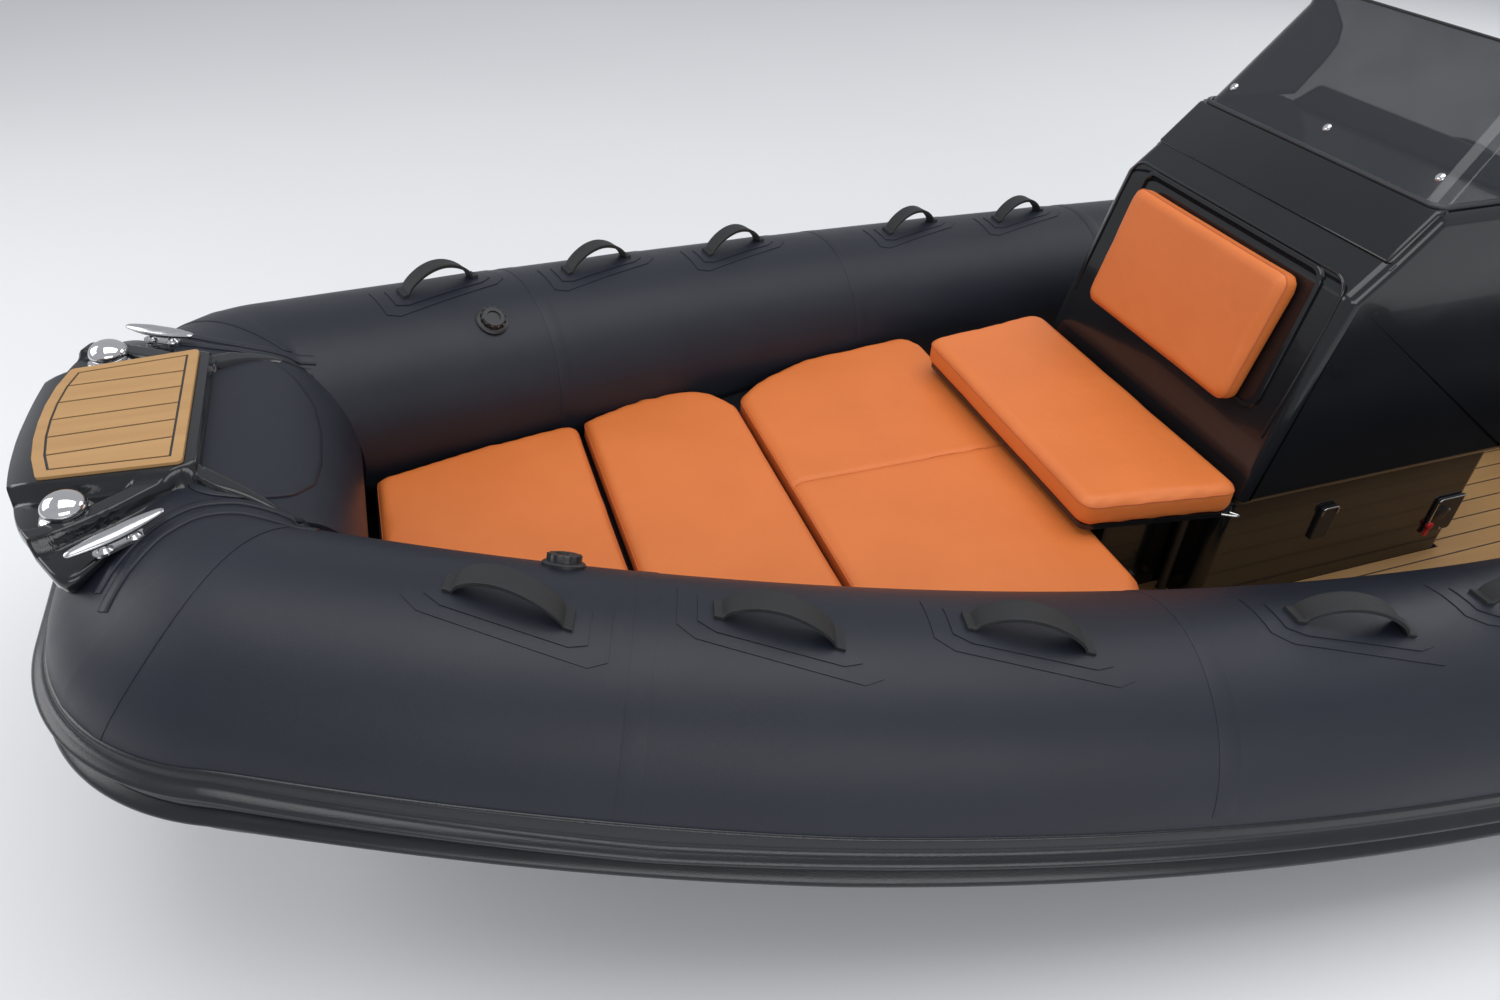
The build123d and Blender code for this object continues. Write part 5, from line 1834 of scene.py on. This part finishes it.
# ------------------------------------------------------------------ sole, hull and stern
@dataclass
class Cockpit:
    """The teak sole, the seat bases, the bow locker and the bulkhead."""

    low: float = 0.080
    high: float = 0.086
    back: float = -1.620
    front: float = 0.715
    half: float = 0.760
    pitch: float = 0.062
    caulk: float = 0.0045
    stands: tuple[tuple[float, float, float], ...] = ((-0.481, 0.388, 0.421), (0.397, 0.641, 0.301),
                                                      (-1.461, -1.099, 0.361))

    def runs(self, y0: float, y1: float) -> list[Flat]:
        """The free lengths of a strip between two values of y."""
        free = [(self.back, self.front)]
        for x0, x1, half in sorted(self.stands):
            if y0 < half and y1 > -half:
                last = free.pop()
                free += [(last[0], x0), (x1, last[1])]
        return free

    def sole(self) -> None:
        """The strips of the sole over a dark sheet that shows as caulk."""
        count = round(2 * self.half / self.pitch)
        pitch = 2 * self.half / count
        boards, sheet = Shape(), Shape()
        for k in range(count):
            y0, y1 = -self.half + pitch * k, -self.half + pitch * (k + 1)
            breaks = [side * half for side in (-1, 1) for _, _, half in self.stands if y0 < side * half < y1]
            edges = sorted([y0, y1] + breaks)
            for a, b in zip(edges, edges[1:]):
                low, high = a + (self.caulk / 2 if a == y0 else 0.0), b - (self.caulk / 2 if b == y1 else 0.0)
                for x0, x1 in self.runs(a + 0.0005, b - 0.0005):
                    if x1 - x0 > 0.02 and high - low > 0.003:
                        boards.plate(oblong(x0 + 0.002, x1 - 0.002, low, high), self.low + 0.001, self.high)
                        sheet.box((x0, a, self.low), (x1, b, self.high - 0.0018))
        place("sole_strips", boards, Finish.TEAK, replaces=["teak_sole"], crease=25)
        place("sole_caulk", sheet, Finish.RUBBER)

    def build(self) -> None:
        """Makes the sole, the bases and their doors."""
        self.sole()
        dress("bow_locker", Finish.BLACK, 0.008)
        dress("stern_bench_base", Finish.BLACK, 0.008)
        dress("stern_bench_lid", Finish.BLACK, 0.004)
        dress("stern_bulkhead", Finish.BLACK, 0.010)
        plan = oblong(-1.460, -1.100, 0.360, -0.360, 0.050)
        rows = ((0.0, 0.080), (0.0, 0.090), (0.012, 0.100), (0.012, 0.120), (0.0, 0.150), (0.0, 0.690),
                (0.010, 0.712),
                (0.010, 0.722), (0.0, 0.732), (0.0, 0.7395))
        helm = Shape().stack(plan, rows)
        place("helm_seat_pod", helm, Finish.BLACK, replaces=["helm_seat_base"], crease=35)
        door = Shape().stack(oblong(-0.240, 0.240, 0.200, 0.620, 0.030),
                             ((0.0, -1.455), (0.0, -1.464), (0.003, -1.4665)), "x")
        pulls = Shape()
        for y in (0.19, -0.19):
            at = spot((-1.466, y, 0.41), "Y", -90.0)
            pulls.turned([(0.020, 0.0), (0.020, 0.002), (0.016, 0.004), (0.008, 0.004), (0.007, 0.007),
                          (0.001, 0.007)], at, 32)
        frame, flanges = [], Shape()
        for side in (1, -1):
            route = ((-1.456, 0.280, 0.560), (-1.500, 0.280, 0.596), (-1.541, 0.280, 0.660),
                     (-1.553, 0.280, 0.750),
                     (-1.5640, 0.280, 0.840), (-1.5735, 0.268, 0.900), (-1.5775, 0.240, 0.926),
                     (-1.5785, 0.200, 0.934))
            frame += [(x, side * y, z) for x, y, z in route[::side]]
            flanges.turned([(0.026, 0.0), (0.026, 0.003), (0.014, 0.006), (0.0125, 0.014)],
                           spot((-1.460, side * 0.280, 0.560), "Y", -75.0), 32)
        place("helm_back_frame", Shape().rod(smooth_line(frame), 0.0105, 18).add(flanges), Finish.STEEL,
              crease=60)
        place("helm_pod_door", door, Finish.BLACK, bevel=0.0015)
        place("helm_pod_latches", pulls, Finish.STEEL)


@dataclass
class RigidHull:
    """The hull under the tubes: a deep V with chines and spray rails, and the transom."""

    # x, keel z, chine y, chine z, top edge y, top z
    stations: tuple[tuple[float, ...], ...] = (
        (-2.750, -0.380, 0.790, -0.025, 0.863, 0.080), (-1.500, -0.380, 0.795, -0.020, 0.863, 0.080),
        (0.000, -0.375, 0.780, 0.000, 0.850, 0.080), (0.740, -0.350, 0.720, 0.040, 0.790, 0.080),
        (1.700, -0.200, 0.520, 0.150, 0.575, 0.230), (2.200, 0.020, 0.330, 0.240, 0.400, 0.300),
        (2.560, 0.270, 0.120, 0.315, 0.170, 0.335))
    rails: tuple[float, ...] = (0.38, 0.70)
    # how far the liner goes out under the forward tube
    ledge: float = 0.12

    def at(self, x: float) -> list[float]:
        """Keel height, chine and top edge at x, smooth through the stations."""
        table = np.array(self.stations)
        i = int(np.clip(np.searchsorted(table[:, 0], x) - 1, 0, len(table) - 2))
        slopes = np.gradient(table[:, 1:], table[:, 0], axis=0)
        span = table[i + 1, 0] - table[i, 0]
        t = (x - table[i, 0]) / span
        start, end = table[i, 1:], table[i + 1, 1:]
        bend = (2 * t ** 3 - 3 * t ** 2 + 1) * start + (3 * t ** 2 - 2 * t ** 3) * end
        bend += span * ((t ** 3 - 2 * t ** 2 + t) * slopes[i] + (t ** 3 - t ** 2) * slopes[i + 1])
        return [float(value) for value in bend]

    def section(self, x: float) -> list[Point]:
        """The ring at x, from the port top edge down to the keel and up again."""
        keel, chine_y, chine_z, top_y, top_z = self.at(x)
        size = chine_y / 0.79
        half = [(0.0, keel), (0.012 * size, keel + 0.002)]
        for share in self.rails:
            y, z = chine_y * share, keel + (chine_z - keel) * share
            half += [(y - 0.030 * size, z - 0.030 * size * (chine_z - keel) / chine_y),
                     (y - 0.028 * size, z - 0.020 * size),
                     (y, z - 0.014 * size), (y + 0.001, z + 0.001)]
        half += [(chine_y - 0.045 * size, chine_z - 0.045 * size * (chine_z - keel) / chine_y),
                 (chine_y - 0.043 * size, chine_z - 0.016 * size), (chine_y, chine_z - 0.010 * size),
                 (chine_y + 0.004, chine_z), (top_y, top_z)]
        return [(x, y, z) for y, z in reversed(half)] + [(x, -y, z) for y, z in half[1:]]

    def build(self) -> None:
        """Makes the hull and dresses the transom."""
        first, last = self.stations[0][0], self.stations[-1][0]
        count = 70
        places = [first + (last - first) * (1 - (1 - k / count) ** 1.3) for k in range(count + 1)]
        rings = [self.section(x) for x in places]
        place("hull_shell", Shape().skin(rings), Finish.WHITE, replaces=["hull"], crease=30)
        liner, edges = [], ((1, -0.02), (1, 0.002), (-1, 0.002), (-1, -0.02))
        for x in places[1:]:
            *_, y, z = self.at(x)
            y += self.ledge * unit((x - 0.8) / 0.4)
            liner.append([(x, side * y, z + up) for side, up in edges])
        place("deck_liner", Shape().skin(liner), Finish.BLACK, crease=30)
        dress("transom", Finish.WHITE, 0.012)
        dress("bow_eye", Finish.STEEL, 0.002)
        dress("stern_eyes", Finish.STEEL, 0.002)


@dataclass
class Stern:
    """Stern decks, motor well, swim platforms, cleats, arch and boarding ladder."""

    deck: float = 0.300
    platform: float = 0.100
    arch_x: float = -2.300
    arch_half: float = 0.700
    arch_top: float = 1.500

    def ladder(self) -> None:
        """The folding ladder, lying on the starboard platform."""
        rails, treads = Shape(), Shape()
        x0, z, low, high = -3.072, 0.111, -0.630, -0.450
        for y in (low, high):
            rails.rod([(x0, y, z), (-2.98, y, z), (-2.90, y, z), (-2.832, y, z)], 0.0085, 16)
        rails.rod([(x0, low - 0.009, z), (x0, 0.5 * (low + high), z), (x0, high + 0.009, z)], 0.0075, 16)
        for x in (-3.0175, -2.9375, -2.8575):
            tread = oblong(x - 0.0125, x + 0.0125, low + 0.007, high - 0.007, 0.003)
            treads.plate(tread, z - 0.007, z + 0.007)
        place("ladder_rails", rails, Finish.STEEL, Body.LADDER, replaces=["ladder"], crease=60)
        place("ladder_treads", treads, Finish.PLASTIC, Body.LADDER, bevel=0.002)
        brackets = Shape()
        for y in (-0.6445, -0.4355):
            brackets.across(rounded([(-3.079, 0.100), (-3.052, 0.100), (-3.056, 0.120), (-3.066, 0.1235),
                                     (-3.0765, 0.120)], 0.003), y - 0.003, y + 0.003)
        place("ladder_brackets", brackets, Finish.STEEL, bevel=0.0008)

    def arch(self) -> None:
        """The ski and light arch over the stern."""
        half, low, top = self.arch_half, self.deck + 0.002, self.arch_top
        line = rounded([(-half, low), (-half, top), (half, top), (half, low)], [0.0, 0.150, 0.150, 0.0], 14)
        bars = Shape().rod([(self.arch_x, y, z) for y, z in line], 0.0215, 24)
        place("arch_tube", bars, Finish.STEEL, replaces=["arch"], crease=60)
        feet = Shape()
        for y in (half, -half):
            feet.turned([(0.048, 0.3005), (0.048, 0.306), (0.030, 0.309), (0.0225, 0.330), (0.0218, 0.335)],
                        spot((self.arch_x, y, 0.0)), 36)
        place("arch_feet", feet, Finish.STEEL, crease=50)

    def build(self) -> None:
        """Makes the stern's decks and fittings."""
        dress("stern_decks", Finish.BLACK, 0.010)
        dress("motor_well", Finish.BLACK, 0.006)
        dress("swim_platforms", Finish.BLACK, 0.006)
        for side, name in ((1, "port"), (-1, "starboard")):
            quad = oblong(-2.735, -2.195, side * 0.375, side * 0.640, 0.020)
            TeakPanel(f"stern_deck_{name}", quad, self.deck - 0.001, self.deck + 0.005).build()
            if side > 0:
                quad = [(-3.045, 0.395), (-2.822, 0.395), (-2.822, 0.690), (-3.045, 0.655)]
                TeakPanel(f"platform_{name}", rounded(quad, 0.018), self.platform - 0.001,
                          self.platform + 0.005).build()
        cleats = BowStep.cleat(Vector((-2.500, 0.600, self.deck + 0.005)), 0.0).both()
        place("stern_cleat_pair", cleats, Finish.STEEL, replaces=["stern_cleats"], crease=50)
        self.arch()
        self.ladder()


# ------------------------------------------------------------------ outboard
@dataclass
class Outboard:
    """The outboard: a shaped cowl, its leg with plate, gearcase and skeg, and the propeller."""

    cowl_plan: tuple[Flat, ...] = ((-3.420, 0.160), (-3.300, 0.195), (-2.990, 0.195), (-2.830, 0.120))
    shaft: Flat = (-3.270, -0.580)

    def cowl(self) -> None:
        """The cowl: a lower pan, a seam, and a hood that slopes and rounds over."""
        plan = rounded(whole(self.cowl_plan), 0.085, 8)
        rows = ((0.022, 0.431), (0.006, 0.440), (0.002, 0.470), (0.000, 0.540), (0.0065, 0.543),
                (0.0065, 0.550),
                (0.000, 0.553), (0.000, 0.640), (0.004, 0.740), (0.012, 0.820), (0.024, 0.870),
                (0.042, 0.902),
                (0.066, 0.921), (0.095, 0.929), (0.125, 0.930))
        rings = []
        for gap, z in rows:
            fall = 0.055 * max(0.0, (z - 0.64) / 0.29) ** 2
            rings.append([(x, y, z - fall * (x + 3.420) / 0.59) for x, y in inset(plan, gap)])
        place("cowl_shell", Shape().skin(rings), Finish.PAINT, Body.ENGINE, replaces=["cowl"], crease=35)
        grille = Shape()
        for side in (-1, 1):
            for k in range(5):
                z = 0.700 + 0.022 * k
                y = side * (0.190 - 0.010 * max(0.0, (z - 0.70) / 0.10))
                grille.rod([(x + 0.008 * k, y, z) for x in (-3.270, -3.170, -3.070)], 0.0042, 8)
        place("cowl_vents", grille, Finish.PLASTIC, Body.ENGINE)
        latch = Shape().across(oblong(-3.418, -3.405, 0.515, 0.585, 0.004), -0.030, 0.030)
        place("cowl_latch", latch, Finish.CAST, Body.ENGINE, bevel=0.002)
        dress("engine_block", Finish.CAST, 0.010)

    @staticmethod
    def foil(back: float, front: float, half: float, count: int = 18) -> list[Flat]:
        """A streamlined plan outline.

        Args:
            back: x of its sharp end.
            front: x of its blunt end.
            half: half its width.
            count: points along each side.

        Returns:
            The outline.
        """
        side = []
        for k in range(count + 1):
            share = (1 - math.cos(math.pi * k / count)) / 2
            width = half * 2.6 * (0.2969 * math.sqrt(share) - 0.126 * share - 0.3516 * share ** 2
                                  + 0.2843 * share ** 3 - 0.1036 * share ** 4) / 0.26
            side.append((front + (back - front) * share, max(0.0015, width)))
        return whole(side)

    def leg(self) -> None:
        """The leg in one casting."""
        shape = Shape()
        rows = ((-3.160, -3.020, 0.060, 0.428), (-3.158, -3.022, 0.058, 0.250),
                (-3.152, -3.026, 0.046, 0.050),
                (-3.150, -3.028, 0.036, -0.200), (-3.152, -3.020, 0.032, -0.385))
        shape.skin([[(x, y, z) for x, y in self.foil(back, front, half)] for back, front, half, z in rows])
        plate = rounded(whole([(-3.400, 0.108), (-3.280, 0.108), (-3.080, 0.074), (-3.012, 0.030)]), 0.020, 5)
        shape.stack(plate, ((0.003, -0.390), (0.0, -0.387), (0.0, -0.379), (0.003, -0.376)))
        rows = ((-3.150, -3.015, 0.030, -0.388), (-3.150, -3.020, 0.025, -0.460),
                (-3.165, -3.000, 0.030, -0.545))
        shape.skin([[(x, y, z) for x, y in self.foil(back, front, half)] for back, front, half, z in rows])
        at = spot((0.0, 0.0, -0.580), "Y", 90.0)
        case = [(0.030, -3.2395), (0.038, -3.225), (0.046, -3.180), (0.050, -3.110), (0.050, -3.040),
                (0.044, -2.980),
                (0.030, -2.930), (0.014, -2.906), (0.002, -2.9005)]
        shape.turned(case, at, 44)
        rows = ((-3.140, -2.990, 0.012, -0.615), (-3.136, -3.015, 0.009, -0.700),
                (-3.130, -3.060, 0.006, -0.788))
        shape.skin([[(x, y, z) for x, y in self.foil(back, front, half, 10)]
                    for back, front, half, z in rows])
        for low, high in ((0.336, 0.428), (-0.069, 0.004)):
            link = oblong(-3.080, -2.962, 0.040, -0.040, 0.016)
            shape.stack(link, ((0.004, low), (0.0, low + 0.005), (0.0, high - 0.005), (0.004, high)))
        pin = spot((-2.960, 0.0, 0.0))
        shape.turned([(0.024, -0.0895), (0.0268, -0.086), (0.0268, 0.426), (0.024, 0.4285)], pin, 36)
        place("leg_casting", shape, Finish.PAINT, Body.ENGINE, replaces=["outboard_leg"], crease=40)

    def propeller(self) -> None:
        """Three twisted blades on a hub."""
        x, z = self.shaft
        at = spot((x, 0.0, z), "Y", 90.0)
        shape = Shape().turned([(0.034, 0.0245), (0.040, 0.0235), (0.047, 0.012), (0.048, 0.0),
                                (0.046, -0.018),
                                (0.041, -0.0245), (0.028, -0.0248)], at, 48)
        for k in range(3):
            rings = []
            for step in range(11):
                share = step / 10
                radius = 0.042 + 0.1215 * share
                chord = 0.058 * math.sqrt(max(0.02, 1 - (2 * share - 0.9) ** 2 * 0.78))
                pitch = math.radians(28.0 - 14.0 * share)
                sweep = 0.25 * share ** 2
                ring = []
                for u, thick in ((-1.0, 0.0004), (-0.6, 0.0018), (0.0, 0.0024), (0.6, 0.0018), (1.0, 0.0004),
                                 (0.6, -0.0018), (0.0, -0.0024), (-0.6, -0.0018)):
                    across = chord * u * math.cos(pitch)
                    ahead = max(-0.0235, min(0.0235, chord * u * math.sin(pitch) * 0.8 + thick))
                    turn = sweep + across / radius
                    ring.append((radius * math.cos(turn), radius * math.sin(turn), ahead))
                rings.append(ring)
            shape.add(Shape().skin(rings).moved(at @ Matrix.Rotation(math.tau * k / 3, 4, "Z")))
        place("propeller_screw", shape, Finish.STEEL, Body.SCREW, replaces=["propeller"], crease=45)

    def build(self) -> None:
        """Makes the outboard."""
        self.cowl()
        self.leg()
        self.propeller()
        dress("clamp_bracket", Finish.CAST, 0.005)
        dress("swivel_bracket", Finish.CAST, 0.004)
        bolts = Shape()
        for y in (0.075, -0.075):
            for z in (0.085, 0.215):
                at = spot((-2.8345, y, z), "Y", -90.0)
                bolts.turned([(0.014, 0.0), (0.014, 0.002), (0.0105, 0.0022), (0.0105, 0.0085),
                              (0.008, 0.010),
                              (0.001, 0.010)], at, 6)
        place("clamp_bolts", bolts, Finish.STEEL, crease=20)


# ------------------------------------------------------------------ camera, floor and lights
@dataclass
class Studio:
    """The camera, the pale floor at the waterline, and soft lights."""

    camera: Point = (2.1887, 1.9504, 1.9974)
    yaw: float = 19.696
    pitch: float = 37.822
    roll: float = 1.739
    lens: float = 24.981
    sensor: float = 36.0

    def view(self) -> None:
        """The camera."""
        data = bpy.data.cameras.new("view")
        data.lens, data.sensor_width, data.clip_end = self.lens, self.sensor, 200.0
        camera = put("view", data)
        yaw, pitch, roll = (math.radians(angle) for angle in (self.yaw, self.pitch, self.roll))
        ahead = Vector((-math.sin(yaw) * math.cos(pitch), -math.cos(yaw) * math.cos(pitch), -math.sin(pitch)))
        right = ahead.cross(Vector((0.0, 0.0, 1.0))).normalized()
        up = right.cross(ahead)
        across = right * math.cos(roll) + up * math.sin(roll)
        over = up * math.cos(roll) - right * math.sin(roll)
        turn = Matrix((across, over, -ahead)).transposed().to_4x4()
        camera.matrix_world = spot(self.camera) @ turn
        bpy.context.scene.camera = camera

    @staticmethod
    def floor() -> None:
        """The floor at the waterline."""
        mesh = bpy.data.meshes.new("floor")
        size = 60.0
        mesh.from_pydata([(-size, -size, 0.0), (size, -size, 0.0), (size, size, 0.0), (-size, size, 0.0)], [],
                         [(0, 1, 2, 3)])
        floor = put("floor", mesh)
        coat = Coat("floor_paint", Roughness=0.9)
        cloud = coat.noise(0.6, 3.0)
        pale = coat.tint(cloud, (0.76, 0.77, 0.78), (0.80, 0.81, 0.82))
        mesh.materials.append(coat.feed(Base_Color=pale).material)

    @staticmethod
    def lamp(name: str, place_at: Point, aim: Point, size: Flat, watts: float) -> None:
        """One soft rectangular lamp.

        Args:
            name: its name.
            place_at: where it hangs.
            aim: what it points at.
            size: its width and height.
            watts: its power.
        """
        data = bpy.data.lights.new(name, "AREA")
        data.shape, data.size, data.size_y, data.energy = "RECTANGLE", *size, watts
        turn = (Vector(aim) - Vector(place_at)).to_track_quat("-Z", "Y").to_matrix().to_4x4()
        put(name, data).matrix_world = spot(place_at) @ turn

    def build(self) -> None:
        """Makes the camera, floor, lamps and world."""
        self.view()
        self.floor()
        self.lamp("overhead", (0.5, 0.5, 6.0), (0.5, 0.0, 0.0), (7.0, 4.0), 215.0)
        self.lamp("port_side", (1.5, 6.5, 3.2), (1.0, 0.0, 0.3), (6.0, 2.5), 125.0)
        self.lamp("bow_side", (7.0, -2.0, 3.5), (1.5, 0.0, 0.4), (4.0, 3.0), 110.0)
        self.lamp("stern_side", (-7.0, -2.5, 3.5), (-1.5, 0.0, 0.4), (4.0, 3.0), 110.0)
        world = bpy.data.worlds.new("studio")
        bpy.context.scene.world = world
        world.use_nodes = True
        back = world.node_tree.nodes["Background"]
        back.inputs["Color"].default_value = (0.93, 0.95, 1.0, 1.0)
        back.inputs["Strength"].default_value = 0.55
        bpy.context.scene.view_settings.view_transform = "Standard"


def main() -> None:
    """Builds the boat's looks and the studio."""
    logging.basicConfig(level=logging.INFO, format="%(message)s")
    Studio().build()
    tube = AirTube()
    for part in (tube, GrabHandles(tube), BowStep(tube), Upholstery(), Console(), Windscreen(), Dash(),
                 Cockpit(), RigidHull(), Stern(), Outboard()):
        LOG.info("sub-assembly %s", type(part).__name__)
        part.build()


if __name__ == "__main__":
    main()
